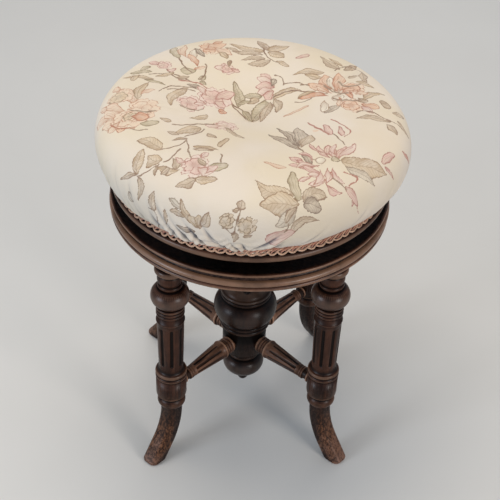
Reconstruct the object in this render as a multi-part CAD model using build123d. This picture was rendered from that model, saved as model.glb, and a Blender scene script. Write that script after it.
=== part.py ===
"""Revolving piano stool: an upholstered round seat that climbs on an iron screw, over a turned and
moulded bed on four fluted legs with sabre feet, tied by four stretchers to a centre column.

Millimetres, +Z up. The origin is on the floor under the screw's axis. The legs stand on the
diagonals, and the seat is drawn screwed right down.
"""

from build123d import *
import os
from math import asin, cos, degrees, radians, sin, sqrt

os.makedirs("parts", exist_ok=True)

# ---- driving dimensions ----

# stance
leg_circle_radius = 139.0  # from the screw's axis to each leg's axis
corner_angles = {"front_left": 225, "front_right": 315, "back_right": 45, "back_left": 135}
leg_turn_angles = {"front_left": 5, "front_right": 22, "back_right": 10, "back_left": 31}
joint_clearance = 0.05  # glued tenons, dowels and shanks, on the radius
overrun = 1.0  # how far a cut runs past the face that it opens

# sabre foot, a rounded square bar bent outwards
foot_height = 88.0
foot_side = 24.5
foot_corner_radius = 8.5
foot_neck_height = 8.0  # upright length under the ankle
foot_bend_radius = 97.0
foot_bend_angle = 35.0
foot_arris_radius = 3.2  # worn edge round the sole
foot_spigot_radius = 8.0
foot_spigot_length = 22.0

# turned leg, from the ankle up: heights of its members, then their radii
ankle_bead_height = 11.5
ankle_cove_height = 6.5
block_bead_height = 3.5
leg_block_height = 28.0
collar_bead_height = 6.5
collar_cove_height = 7.0
shaft_length = 78.0
astragal_height = 2.4
neck_band_height = 8.1
neck_bead_height = 5.0
neck_bead_count = 3
bulb_seat_height = 2.0
bulb_height = 28.0
lip_height = 6.0
ball_height = 16.0
capital_height = 11.0
leg_cap_height = 21.0
ankle_radius = 15.5
ankle_bead_overhang = 2.8  # beyond the ankle, as the next
ankle_cove_foot_overhang = 1.1
ankle_cove_inset = 0.3  # into the ankle
leg_block_radius = 19.8
block_bead_inset = 0.3  # into the block, as the next
block_bead_root_inset = 2.0
collar_bead_radius = 20.4
collar_root_radius = 17.8
shaft_foot_radius = 15.8
shaft_head_radius = 17.3
astragal_overhang = 0.9  # beyond the head of the shaft
neck_bead_radius = 18.0
neck_root_radius = 15.8
leg_bulb_seat_radius = 16.2
leg_bulb_radius = 24.3
leg_lip_radius = 15.6
leg_lip_root_radius = 13.6
leg_ball_radius = 15.8
leg_ball_root_radius = 13.0
capital_radius = 19.0
capital_root_radius = 15.0
leg_cap_radius = 16.5
leg_cap_foot_radius = 14.5
leg_tenon_radius = 9.0
leg_tenon_length = 16.0

# stopped flutes: each is a channel with rounded ends
flute_count = 8
leg_flute_width = 4.6
leg_flute_depth = 1.8
leg_flute_margin = 6.0  # plain wood left at each end of the shaft
column_flute_width = 8.0
column_flute_depth = 2.2
column_flute_margin = 12.0
stretcher_flute_width = 4.0
stretcher_flute_depth = 1.3
stretcher_flute_margin = 5.0

# moulded bed: heights of its members from the lower edge up, then how far each lies in or out
bed_lower_bead_height = 6.0
bed_ovolo_height = 8.5
bed_cove_height = 6.0
bed_bead_height = 4.5
bed_radius = 172.0  # out to the bead round the top, and the rest from there
bed_lower_edge_inset = 2.4
bed_lower_bead_overhang = 0.6
bed_groove_inset = 2.0
bed_ovolo_overhang = 1.4
bed_ovolo_top_inset = 2.6
bed_cove_inset = 5.2
bed_cove_top_inset = 3.0
bed_dish_inset = 3.6
bed_dish_depth = 2.0  # how far the top lies below the rim's bead

# stretchers, from the column out to the leg
stretcher_rise = 7.5  # from the foot of the leg's block to the stretcher's axis
stretcher_bead_length = 4.6
stretcher_bead_count = 3
stretcher_bead_radius = 11.6
stretcher_bead_root_radius = 10.1
stretcher_band_radius = 13.3
stretcher_band_root_radius = 11.4
stretcher_head_radius = 12.5
stretcher_tail_radius = 8.0
stretcher_neck_radius = 6.8
stretcher_ring_length = 3.2
stretcher_neck_length = 6.0
stretcher_ring_radius = 8.6
stretcher_ring_root_radius = 7.4
stretcher_column_tenon_radius = 6.5
stretcher_column_tenon_length = 15.0
stretcher_leg_tenon_radius = 4.5
stretcher_leg_tenon_length = 12.0

# centre column, from its foot up
column_foot_drop = 25.0  # from the stretchers' axes down to the column's flat foot
column_foot_bead_height = 7.0
column_sole_radius = 25.0
column_foot_bead_radius = 27.0
drum_height = 41.0
drum_radius = 29.5
column_bead_height = 6.5
column_bead_radius = 34.0
column_bead_root_radius = 32.0
column_bulb_height = 38.0
column_bulb_radius = 42.2
column_neck_bead_height = 5.5
column_neck_bead_radius = 33.8
column_neck_foot_radius = 31.0
column_neck_head_radius = 32.5
column_tenon_radius = 26.0

# finial under the column
finial_cove_height = 5.0
finial_cove_radius = 18.0
finial_collar_height = 5.0
finial_collar_overhang = 1.6  # beyond the top of the bun
finial_top_radius = 19.5
finial_bun_height = 33.0
finial_bun_radius = 27.5
finial_bun_waist = 0.45  # where the bun is widest, as a share of its height
finial_drop_radius = 8.2
finial_drop_neck_radius = 6.6
finial_drop_length = 17.8
finial_spigot_radius = 8.0
finial_spigot_length = 18.0

# iron work
screw_radius = 11.0
screw_tip_chamfer = 2.0
screw_tail = 33.0  # thread left below the nut when the seat is right up
screw_clearance = 0.05  # running fit of the screw in its nut, on the radius
seat_travel = 90.0
nut_plate_radius = 48.0
nut_plate_thickness = 4.0
nut_radius = 17.5
nut_length = 34.0
column_bore_radius = 13.0
column_bore_spare = 10.0  # bore below the screw's tip
washer_thickness = 1.6
washer_radius = 17.0
washer_bore_clearance = 0.1
flange_radius = 62.0
flange_thickness = 4.0
flange_boss_radius = 17.0
flange_boss_height = 9.5
flange_rib_count = 6
flange_rib_thickness = 4.0
flange_rib_foot = 2.0  # up the boss to where the ribs start
flange_rib_margin = 4.0  # plain plate left outside the ribs
flange_pin_radius = 2.0
wood_screw_head_radius = 4.4
wood_screw_shank_radius = 2.2
wood_screw_length = 15.0
nut_plate_screw_circle = 36.0
nut_plate_screw_count = 4
flange_screw_circle = 50.0
flange_screw_count = 6

# seat
board_radius = 162.0
board_thickness = 18.0
rim_projection = 8.45  # of its nose, beyond the board's edge
rim_height = 10.0
rim_drop = 1.6  # how far the rim hangs below the board
cover_thickness = 1.2
cushion_overhang = 24.75  # of the bulging side, beyond the cover's foot
cushion_bulge_gap = 0.7  # from the gimp to where the side starts to bulge
cushion_bulge_height = 37.6  # from there up to where the bulge is widest
cushion_shoulder_angle = 62.0
cushion_crown_inset = 76.0  # from the widest circle to where the crown is highest
cushion_crown_height = 83.0
dimple_radius = 52.0
dimple_shoulder_drop = 8.0
dimple_depth = 21.0
twine_radius = 1.0
twine_knot_radius = 2.6
twine_knot_height = 1.0
gimp_height = 9.5
gimp_thickness = 1.8
gimp_edge_thickness = 1.1
gimp_clearance = 0.3
tack_count = 24
tack_head_radius = 3.0
tack_head_thickness = 0.7
tack_shank_radius = 0.7
tack_length = 8.0

# ---- heights that follow ----

turned_leg_height = (
    ankle_bead_height
    + ankle_cove_height
    + block_bead_height
    + leg_block_height
    + 2 * collar_bead_height
    + collar_cove_height
    + shaft_length
    + astragal_height
    + neck_band_height
    + neck_bead_count * neck_bead_height
    + bulb_seat_height
    + bulb_height
    + lip_height
    + ball_height
    + capital_height
    + leg_cap_height
)
bed_bottom = foot_height + turned_leg_height
bed_top = bed_bottom + bed_lower_bead_height + bed_ovolo_height + bed_cove_height + bed_bead_height
bed_face = bed_top - bed_dish_depth
nut_plate_top = bed_face + nut_plate_thickness
washer_top = nut_plate_top + washer_thickness
flange_face = washer_top + flange_boss_height
board_bottom = flange_face + flange_thickness
board_top = board_bottom + board_thickness
rim_bottom = board_bottom - rim_drop
rim_top = rim_bottom + rim_height
gimp_top = rim_top + gimp_clearance + gimp_height
bulge_bottom = gimp_top + cushion_bulge_gap
nut_bottom = nut_plate_top - nut_length
screw_bottom = nut_bottom - seat_travel - screw_tail
rim_radius = board_radius + joint_clearance + rim_projection
cover_radius = board_radius + joint_clearance + cover_thickness
cushion_side_radius = (cushion_overhang**2 + cushion_bulge_height**2) / (2 * cushion_overhang)
cushion_radius = cover_radius + cushion_overhang
cushion_crown_radius = cushion_radius - cushion_crown_inset
block_foot = foot_height + ankle_bead_height + ankle_cove_height + block_bead_height
stretcher_height = block_foot + stretcher_rise
column_foot = stretcher_height - column_foot_drop
column_neck_foot = (
    column_foot
    + column_foot_bead_height
    + drum_height
    + 2 * column_bead_height
    + column_bulb_height
    + 2 * column_neck_bead_height
)


class Outline:
    """Half of a turned section, drawn upwards in the XZ plane and spun about Z."""

    def __init__(self, radius, height):
        self.radius, self.height = radius, height
        self.start = (0, 0, height)
        self.edges = [Line(self.start, (radius, 0, height))] if radius else []

    def to(self, radius, height):
        """A straight run to a radius and height."""
        if (radius, height) != (self.radius, self.height):
            here, there = (self.radius, 0, self.height), (radius, 0, height)
            self.edges.append(Line(here, there))
            self.radius, self.height = radius, height
        return self

    def step(self, radius):
        """A flat shoulder."""
        return self.to(radius, self.height)

    def rise(self, length, radius=None):
        """A straight stretch, tapered where its end has another radius."""
        return self.to(self.radius if radius is None else radius, self.height + length)

    def swell(self, length, crest, end=None):
        """An arc through crest at half its length: a bead where crest is the widest, else a cove."""
        end = self.radius if end is None else end
        here = (self.radius, 0, self.height)
        middle = (crest, 0, self.height + length / 2)
        there = (end, 0, self.height + length)
        self.edges.append(ThreePointArc(here, middle, there))
        self.radius, self.height = end, self.height + length
        return self

    def beads(self, count, length, crest, root):
        """A row of equal beads that rise from one root radius."""
        self.step(root)
        for _ in range(count):
            self.swell(length, crest)
        return self

    def curve(self, points, tangents):
        """A smooth stretch through points of radius and height, with its two end directions."""
        path = [(self.radius, 0, self.height)] + [(r, 0, z) for r, z in points]
        self.edges.append(Spline(*path, tangents=[(r, 0, z) for r, z in tangents]))
        self.radius, self.height = points[-1]
        return self

    def spin(self):
        """The solid of revolution."""
        if self.radius:
            self.step(0)
        if self.height != self.start[2]:
            self.edges.append(Line((0, 0, self.height), self.start))
        return revolve(Face(Wire(self.edges)), Axis.Z, 360)


def rod(radius, bottom, top, x=0.0, y=0.0):
    """An upright cylinder between two heights."""
    return Pos(x, y, bottom) * Cylinder(radius, top - bottom, align=(Align.CENTER, Align.CENTER, Align.MIN))


def tube(outer, inner, bottom, top):
    """An upright cylinder with a bore."""
    return rod(outer, bottom, top) - rod(inner, bottom - overrun, top + overrun)


def ring_of(count, radius, first=0.0):
    """Places on a circle about Z, each turned to face outwards."""
    return [Rot(0, 0, first + 360 * k / count) * Pos(radius, 0, 0) for k in range(count)]


def fluted(body, width, depth, low, low_radius, high, high_radius):
    """body with stopped channels along the taper between two heights."""
    radius = width / 2
    lean = asin((high_radius - low_radius) / (high - low))
    length = (high - low) / cos(lean) - width
    channel = Cylinder(radius, length) + Pos(0, 0, length / 2) * Sphere(radius)
    channel += Pos(0, 0, -length / 2) * Sphere(radius)
    middle_radius = (low_radius + high_radius) / 2 - depth + radius
    tilted = Pos(middle_radius, 0, (low + high) / 2) * Rot(0, degrees(lean), 0) * channel
    return body - [Rot(0, 0, 360 * k / flute_count) * tilted for k in range(flute_count)]


def at_corner(corner, solid):
    """A solid drawn about a leg's axis, with +X pointing away from the column, moved to its corner."""
    return Rot(0, 0, corner_angles[corner]) * Pos(leg_circle_radius, 0, 0) * solid


def one(shape):
    """The single solid of a boolean's result."""
    solids = shape.solids()
    assert len(solids) == 1, f"{len(solids)} solids"
    return solids[0]


# ---- legs and feet ----


def turned_leg():
    """One leg about its own axis: spigot, ankle, block, fluted shaft, astragal, bulb, capital and tenon."""
    line = Outline(foot_spigot_radius, foot_height - foot_spigot_length)
    line.rise(foot_spigot_length).step(ankle_radius)
    cove_foot, block_root = ankle_radius + ankle_cove_foot_overhang, leg_block_radius - block_bead_root_inset
    line.swell(ankle_bead_height, ankle_radius + ankle_bead_overhang, cove_foot)
    line.swell(ankle_cove_height, ankle_radius - ankle_cove_inset, block_root)
    line.swell(block_bead_height, leg_block_radius - block_bead_inset)
    line.step(leg_block_radius).rise(leg_block_height)
    line.beads(2, collar_bead_height, collar_bead_radius, collar_root_radius)
    line.swell(collar_cove_height, shaft_foot_radius, shaft_foot_radius)
    low = line.height
    line.rise(shaft_length, shaft_head_radius)
    high = line.height
    line.swell(astragal_height, shaft_head_radius + astragal_overhang)
    line.rise(neck_band_height)
    line.beads(neck_bead_count, neck_bead_height, neck_bead_radius, neck_root_radius)
    line.step(leg_bulb_seat_radius).rise(bulb_seat_height)
    line.swell(bulb_height, leg_bulb_radius, leg_lip_root_radius)
    line.beads(1, lip_height, leg_lip_radius, leg_lip_root_radius)
    line.swell(ball_height, leg_ball_radius, leg_ball_root_radius)
    line.step(capital_root_radius).swell(capital_height, capital_radius)
    line.step(leg_cap_foot_radius).rise(leg_cap_height, leg_cap_radius)
    line.step(leg_tenon_radius).rise(leg_tenon_length)
    low_radius, high_radius = shaft_foot_radius, shaft_head_radius
    return fluted(
        line.spin(),
        leg_flute_width,
        leg_flute_depth,
        low + leg_flute_margin,
        low_radius,
        high - leg_flute_margin,
        high_radius,
    )


def leg(corner, turned):
    """A leg in its place, with the mortise for its stretcher on the side of the column."""
    depth = stretcher_leg_tenon_length + overrun
    mortise = Pos(-leg_block_radius - overrun, 0, stretcher_height) * Rot(0, 90, 0)
    mortise *= Cylinder(
        stretcher_leg_tenon_radius + joint_clearance,
        depth + overrun,
        align=(Align.CENTER, Align.CENTER, Align.MIN),
    )
    return one(at_corner(corner, Rot(0, 0, leg_turn_angles[corner]) * turned - mortise))


def sabre_foot():
    """One foot about the leg's axis: a rounded square bar swept down, outwards and onto the floor."""
    bend_top = foot_height - foot_neck_height
    bend_centre = foot_bend_radius
    angle = radians(foot_bend_angle)
    end_x = bend_centre - foot_bend_radius * cos(angle)
    end_z = bend_top - foot_bend_radius * sin(angle)
    reach = (end_z + foot_side) / cos(angle)
    path = Wire(
        [
            Line((0, 0, foot_height), (0, 0, bend_top)),
            ThreePointArc(
                (0, 0, bend_top),
                (
                    bend_centre - foot_bend_radius * cos(angle / 2),
                    0,
                    bend_top - foot_bend_radius * sin(angle / 2),
                ),
                (end_x, 0, end_z),
            ),
            Line((end_x, 0, end_z), (end_x + reach * sin(angle), 0, end_z - reach * cos(angle))),
        ]
    )
    section = Pos(0, 0, foot_height) * RectangleRounded(foot_side, foot_side, foot_corner_radius)
    bar = sweep(section, path=path)
    bar &= Box(6 * foot_height, 6 * foot_side, foot_height, align=(Align.CENTER, Align.CENTER, Align.MIN))
    sole = bar.faces().sort_by(Axis.Z)[0]
    bar = fillet(sole.edges(), foot_arris_radius)
    socket_radius = foot_spigot_radius + joint_clearance
    socket_end = foot_height - foot_spigot_length - overrun
    return one(bar - rod(socket_radius, socket_end, foot_height + overrun))


# ---- column, finial and stretchers ----


def centre_column():
    """The bored column: foot bead, drum, beads, bulb, beads, fluted neck and the tenon in the bed."""
    line = Outline(column_sole_radius, column_foot)
    line.swell(column_foot_bead_height, column_foot_bead_radius)
    line.step(drum_radius).rise(drum_height)
    line.beads(2, column_bead_height, column_bead_radius, column_bead_root_radius)
    line.swell(column_bulb_height, column_bulb_radius, column_neck_foot_radius)
    line.beads(2, column_neck_bead_height, column_neck_bead_radius, column_neck_foot_radius)
    line.to(column_neck_head_radius, bed_bottom)
    line.step(column_tenon_radius).rise(bed_face - bed_bottom)
    body = fluted(
        line.spin(),
        column_flute_width,
        column_flute_depth,
        column_neck_foot + column_flute_margin,
        column_neck_foot_radius,
        bed_bottom - column_flute_margin,
        column_neck_head_radius,
    )
    body -= rod(column_bore_radius, screw_bottom - column_bore_spare, bed_top)
    body -= rod(nut_radius + joint_clearance, nut_bottom - overrun, bed_top)
    spigot_hole = finial_spigot_radius + joint_clearance
    body -= rod(spigot_hole, column_foot - overrun, column_foot + finial_spigot_length + overrun)
    mortise_end = drum_radius - stretcher_column_tenon_length - overrun
    mortise = Pos(mortise_end, 0, stretcher_height) * Rot(0, 90, 0)
    mortise *= Cylinder(
        stretcher_column_tenon_radius + joint_clearance,
        stretcher_column_tenon_length + drum_radius,
        align=(Align.CENTER, Align.CENTER, Align.MIN),
    )
    return one(body - [Rot(0, 0, azimuth) * mortise for azimuth in corner_angles.values()])


def column_finial():
    """The bun under its collar, and its drop, with a spigot glued up into the column."""
    top = column_foot
    bun_bottom = top - finial_cove_height - finial_collar_height - finial_bun_height
    level, inwards, outwards, shoulder = (1, 0), (-0.3, 1), (1, 0.25), (-1, 0.5)
    drop_bottom, round_share = bun_bottom - finial_drop_length, sin(radians(45))
    line = Outline(0, drop_bottom)
    drop = [
        (finial_drop_radius * round_share, drop_bottom + finial_drop_radius * (1 - round_share)),
        (finial_drop_radius, drop_bottom + finial_drop_radius),
        (finial_drop_neck_radius, bun_bottom),
    ]
    line.curve(drop, [level, inwards])
    bun = [
        (finial_bun_radius, bun_bottom + finial_bun_height * finial_bun_waist),
        (finial_top_radius, bun_bottom + finial_bun_height),
    ]
    line.curve(bun, [outwards, shoulder])
    line.swell(finial_collar_height, finial_top_radius + finial_collar_overhang)
    line.swell(finial_cove_height, finial_cove_radius)
    line.step(finial_spigot_radius).rise(finial_spigot_length)
    return one(line.spin())


def stretcher():
    """One stretcher along +X from the column's drum to the leg's block, shouldered to both."""
    inner = drum_radius + joint_clearance
    outer = leg_circle_radius - leg_block_radius - joint_clearance
    beads_length = stretcher_bead_count * stretcher_bead_length
    tail_length = 3 * stretcher_ring_length + stretcher_neck_length
    overlap = 4.0  # run past each shoulder, cut back to the round faces below
    line = Outline(stretcher_bead_root_radius, inner - overlap)
    line.rise(overlap)
    line.beads(
        stretcher_bead_count, stretcher_bead_length, stretcher_bead_radius, stretcher_bead_root_radius
    )
    line.step(stretcher_band_root_radius)
    line.swell(stretcher_bead_length, stretcher_band_radius, stretcher_head_radius)
    low = line.height
    line.to(stretcher_tail_radius, outer - tail_length)
    high = line.height
    line.beads(2, stretcher_ring_length, stretcher_ring_radius, stretcher_ring_root_radius)
    line.step(stretcher_neck_radius).rise(stretcher_neck_length)
    line.beads(1, stretcher_ring_length, stretcher_ring_radius, stretcher_ring_root_radius)
    line.rise(overlap)
    body = fluted(
        line.spin(),
        stretcher_flute_width,
        stretcher_flute_depth,
        low + stretcher_flute_margin,
        stretcher_head_radius,
        high - stretcher_flute_margin,
        stretcher_tail_radius,
    )
    body = Pos(0, 0, stretcher_height) * Rot(0, 90, 0) * body
    body -= rod(inner, 0, bed_bottom)
    body -= rod(leg_block_radius + joint_clearance, 0, bed_bottom, leg_circle_radius)
    tenons = rod(
        stretcher_column_tenon_radius, inner - stretcher_column_tenon_length, inner + overlap
    ) + rod(stretcher_leg_tenon_radius, outer - overlap, outer + stretcher_leg_tenon_length)
    return one(body + Pos(0, 0, stretcher_height) * Rot(0, 90, 0) * tenons)


# ---- bed ----


def bed_frame():
    """The round bed: a dished top inside a rim of bead, cove, ovolo and under-bead."""
    r, dish_radius = bed_radius, bed_radius - bed_dish_inset
    line = Outline(r - bed_lower_edge_inset, bed_bottom)
    line.swell(bed_lower_bead_height, r + bed_lower_bead_overhang, r - bed_groove_inset)
    line.swell(bed_ovolo_height, r + bed_ovolo_overhang, r - bed_ovolo_top_inset)
    line.swell(bed_cove_height, r - bed_cove_inset, r - bed_cove_top_inset)
    bead_middle = line.height + bed_bead_height / 2
    line.curve([(r, bead_middle), (dish_radius, bed_top)], [(1, 0), (-1, 0)])
    line.to(dish_radius, bed_face)
    tenon_hole = rod(column_tenon_radius + joint_clearance, bed_bottom - overrun, bed_top + overrun)
    body = line.spin() - tenon_hole
    body -= [place * screw_hole() for place in nut_plate_places]
    mortise_end = bed_bottom + leg_tenon_length + overrun
    mortise = rod(leg_tenon_radius + joint_clearance, bed_bottom - overrun, mortise_end)
    return one(body - [at_corner(corner, mortise) for corner in corner_angles])


# ---- iron work ----


def wood_screw():
    """A countersunk screw with its head's face at z = 0 and its shank down -Z."""
    head_depth = wood_screw_head_radius - wood_screw_shank_radius
    line = Outline(0, -wood_screw_length)
    line.to(wood_screw_shank_radius, wood_screw_shank_radius - wood_screw_length)
    line.to(wood_screw_shank_radius, -head_depth).to(wood_screw_head_radius, 0)
    return line.spin()


def screw_hole():
    """The countersunk hole that a wood screw fills, with clearance."""
    head_depth = wood_screw_head_radius - wood_screw_shank_radius
    play = joint_clearance
    line = Outline(wood_screw_shank_radius + play, -wood_screw_length - play)
    line.rise(wood_screw_length + play - head_depth).to(wood_screw_head_radius + play, 0).rise(overrun)
    return line.spin()


nut_plate_places = [
    Pos(0, 0, nut_plate_top) * p for p in ring_of(nut_plate_screw_count, nut_plate_screw_circle)
]
flange_places = [
    Pos(0, 0, flange_face) * p * Rot(180, 0, 0)
    for p in ring_of(flange_screw_count, flange_screw_circle, 180 / flange_screw_count)
]


def nut_plate():
    """The iron plate on the bed, with the long nut that reaches down into the column."""
    body = rod(nut_plate_radius, bed_face, nut_plate_top)
    body += rod(nut_radius, nut_bottom, bed_face)
    body -= rod(screw_radius + screw_clearance, nut_bottom - overrun, nut_plate_top + overrun)
    return one(body - [place * screw_hole() for place in nut_plate_places])


def thrust_washer():
    """The loose washer that the seat's boss turns on."""
    return tube(washer_radius, screw_radius + washer_bore_clearance, nut_plate_top, washer_top)


pin_height = washer_top + flange_boss_height / 2
pin_place = Pos(0, 0, pin_height) * Rot(0, 90, 0)
pin_hole = pin_place * Cylinder(flange_pin_radius + joint_clearance, 4 * flange_boss_radius)


def seat_screw():
    """The iron screw, its thread's outside as a plain rod, with an eased tip."""
    line = Outline(screw_radius - screw_tip_chamfer, screw_bottom).rise(screw_tip_chamfer, screw_radius)
    line.to(screw_radius, board_bottom)
    return one(line.spin() - pin_hole)


def seat_flange():
    """The cast flange under the board: plate, boss and ribs, screwed up and pinned to the screw."""
    body = rod(flange_radius, flange_face, board_bottom) + rod(flange_boss_radius, washer_top, flange_face)
    rib_end, rib_foot = flange_radius - flange_rib_margin, washer_top + flange_rib_foot
    root, top = (flange_boss_radius + screw_radius) / 2, (flange_face + board_bottom) / 2  # inside both
    rib = Wire.make_polygon(
        [
            (root, 0, top),
            (root, 0, rib_foot),
            (flange_boss_radius, 0, rib_foot),
            (rib_end, 0, flange_face),
            (rib_end, 0, top),
        ]
    )
    rib = extrude(Face(rib), flange_rib_thickness / 2, dir=(0, 1, 0), both=True)
    for k in range(flange_rib_count):
        body += Rot(0, 0, 360 * k / flange_rib_count) * rib
    body -= rod(screw_radius + joint_clearance, washer_top - overrun, board_bottom + overrun)
    return one(body - pin_hole - [place * screw_hole() for place in flange_places])


def flange_pin():
    """The pin through the boss and the screw."""
    return pin_place * Cylinder(flange_pin_radius, 2 * flange_boss_radius)


# ---- seat ----

tack_height = (rim_top + gimp_clearance + board_top) / 2
tack_places = [
    Pos(0, 0, tack_height) * p * Rot(0, 90, 0)
    for p in ring_of(tack_count, cover_radius)
]


def seat_board():
    """The round board, bored for the flange's screws and the cover's tacks."""
    body = rod(board_radius, board_bottom, board_top)
    body -= [place * screw_hole() for place in flange_places]
    hole = rod(tack_shank_radius + joint_clearance, -tack_length - overrun, 0)
    return one(body - [place * hole for place in tack_places])


def seat_rim():
    """The half-round moulding glued round the board's lower edge."""
    line = Outline(rim_radius - rim_height / 2, rim_bottom)
    line.swell(rim_height, rim_radius)
    return one(line.spin() - rod(board_radius + joint_clearance, rim_bottom - overrun, rim_top + overrun))


def cushion(inset, bottom):
    """The cushion's outside, drawn in by an amount: board side, bulging side, crown and dimple."""
    wall = cover_radius - inset
    side_radius = cushion_side_radius - inset
    centre_x = cushion_radius - cushion_side_radius
    centre_z = bulge_bottom + cushion_bulge_height
    start_z = centre_z - sqrt(side_radius**2 - (wall - centre_x) ** 2)
    shoulder = radians(cushion_shoulder_angle)
    crown_z = board_top + cushion_crown_height - inset
    line = Outline(wall, bottom).to(wall, start_z)
    end = (centre_x + side_radius * cos(shoulder), centre_z + side_radius * sin(shoulder))
    side = ThreePointArc(
        (wall, 0, start_z), (centre_x + side_radius, 0, centre_z), (end[0], 0, end[1])
    )
    line.edges.append(side)
    line.radius, line.height = end
    line.curve(
        [
            (cushion_crown_radius, crown_z),
            (dimple_radius, crown_z - dimple_shoulder_drop),
            (0, crown_z - dimple_depth),
        ],
        [(-sin(shoulder), cos(shoulder)), (-1, 0)],
    )
    return line.spin()


dimple_top = board_top + cushion_crown_height - dimple_depth
twine_hole = rod(twine_radius + joint_clearance, board_bottom, dimple_top + overrun)
pad_inset = cover_thickness + joint_clearance


def stuffing_pad():
    """The stuffing on the board, with the hole that the tufting twine pulls through."""
    return one(cushion(pad_inset, board_top) - twine_hole)


def seat_cover():
    """The fabric cover: over the stuffing and down the board's side, behind the gimp."""
    bottom = rim_top + gimp_clearance
    body = cushion(0, bottom) - cushion(cover_thickness, bottom - overrun)
    body -= twine_hole
    hole = rod(tack_shank_radius + joint_clearance, -tack_length, tack_head_thickness)
    return one(body - [place * hole for place in tack_places])


def gimp_braid():
    """The braid glued over the tacks, round the foot of the cover."""
    inner = cover_radius + tack_head_thickness + joint_clearance
    bottom = rim_top + gimp_clearance
    line = Outline(inner + gimp_edge_thickness, bottom)
    line.swell(gimp_height, inner + gimp_thickness)
    return one(line.spin() - rod(inner, bottom - overrun, bottom + gimp_height + overrun))


def tuft_twine():
    """The twine that draws the dimple down, tied above the cover and tacked to the board."""
    knot_bottom = dimple_top + joint_clearance
    return rod(twine_radius, board_top, knot_bottom) + rod(
        twine_knot_radius, knot_bottom, knot_bottom + twine_knot_height
    )


def tack():
    """An upholstery tack with its head's underside at z = 0 and its shank down -Z."""
    return rod(tack_head_radius, 0, tack_head_thickness) + rod(tack_shank_radius, -tack_length, 0)


def build():
    """Every named piece of the stool."""
    turned, foot, rail = turned_leg(), sabre_foot(), stretcher()
    pieces = {
        "bed_frame": bed_frame(),
        "centre_column": centre_column(),
        "column_finial": column_finial(),
        "nut_plate": nut_plate(),
        "nut_plate_screws": Compound([place * wood_screw() for place in nut_plate_places]),
        "thrust_washer": thrust_washer(),
        "seat_screw": seat_screw(),
        "seat_flange": seat_flange(),
        "flange_pin": flange_pin(),
        "flange_screws": Compound([place * wood_screw() for place in flange_places]),
        "seat_board": seat_board(),
        "seat_rim": seat_rim(),
        "stuffing_pad": stuffing_pad(),
        "seat_cover": seat_cover(),
        "gimp_braid": gimp_braid(),
        "tuft_twine": tuft_twine(),
        "cover_tacks": Compound([place * tack() for place in tack_places]),
    }
    for corner, azimuth in corner_angles.items():
        pieces[f"leg_{corner}"] = leg(corner, turned)
        pieces[f"foot_{corner}"] = at_corner(corner, foot)
        pieces[f"stretcher_{corner}"] = Rot(0, 0, azimuth) * rail
    return pieces


for name, piece in build().items():
    export_step(piece, f"parts/{name}.step")
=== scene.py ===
"""Looks of the revolving piano stool: polished walnut with painted shade in its quirks and hollows and painted
highlights on its crests, worn feet with painted shade on their inner sides, a printed cotton cushion drawn in
by one tuft, a looped gimp braid, and the iron screw with its cut thread. Metres, in the frame of the solids."""

import bmesh
import bpy
import numpy as np
from mathutils import Matrix, Vector


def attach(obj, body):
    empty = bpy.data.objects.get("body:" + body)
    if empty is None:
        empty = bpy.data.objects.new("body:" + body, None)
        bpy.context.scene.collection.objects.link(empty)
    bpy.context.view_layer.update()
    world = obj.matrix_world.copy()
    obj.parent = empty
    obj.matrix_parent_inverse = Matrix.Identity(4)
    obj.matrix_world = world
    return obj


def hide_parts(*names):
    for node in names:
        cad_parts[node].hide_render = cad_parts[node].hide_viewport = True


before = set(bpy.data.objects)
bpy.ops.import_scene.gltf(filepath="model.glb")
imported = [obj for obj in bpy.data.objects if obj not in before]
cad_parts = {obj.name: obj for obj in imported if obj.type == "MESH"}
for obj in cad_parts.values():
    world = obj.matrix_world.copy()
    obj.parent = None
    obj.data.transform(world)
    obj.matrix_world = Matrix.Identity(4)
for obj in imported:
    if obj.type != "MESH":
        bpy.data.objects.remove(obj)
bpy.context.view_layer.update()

MM = 0.001
TURN = 2 * np.pi


def linear(colour):
    """A colour as it is seen, out of 255, as the light it sends back."""
    share = np.array(colour, float) / 255
    return np.where(share < 0.04, share / 12.9, ((share + 0.055) / 1.055) ** 2.4)


def line_at(away, wide):
    """A soft line: one on the line itself, falling as a bell curve of that half width."""
    return np.exp(-0.5 * (away / wide) ** 2)


def eased(share):
    """A smooth step from nought to one."""
    share = np.clip(share, 0, 1)
    return share * share * (3 - 2 * share)


def bearings(count):
    """Evenly spaced bearings of a full turn."""
    return TURN * np.arange(count) / count


def turned(radius, angle, height):
    """Points at a radius and a bearing about Z, at a height."""
    return np.stack(np.broadcast_arrays(radius * np.cos(angle), radius * np.sin(angle), height), -1)


def unit(vectors):
    """Vectors brought to length one."""
    return vectors / np.linalg.norm(vectors, axis=-1, keepdims=True)


def run_along(line):
    """How far along a line each of its points lies."""
    return np.r_[0, np.cumsum(np.linalg.norm(np.diff(line, axis=0), axis=1))]


def times(much, colour):
    """A colour made lighter or darker by a factor."""
    return tuple(much * c for c in colour)


# ---- node materials ----


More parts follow.
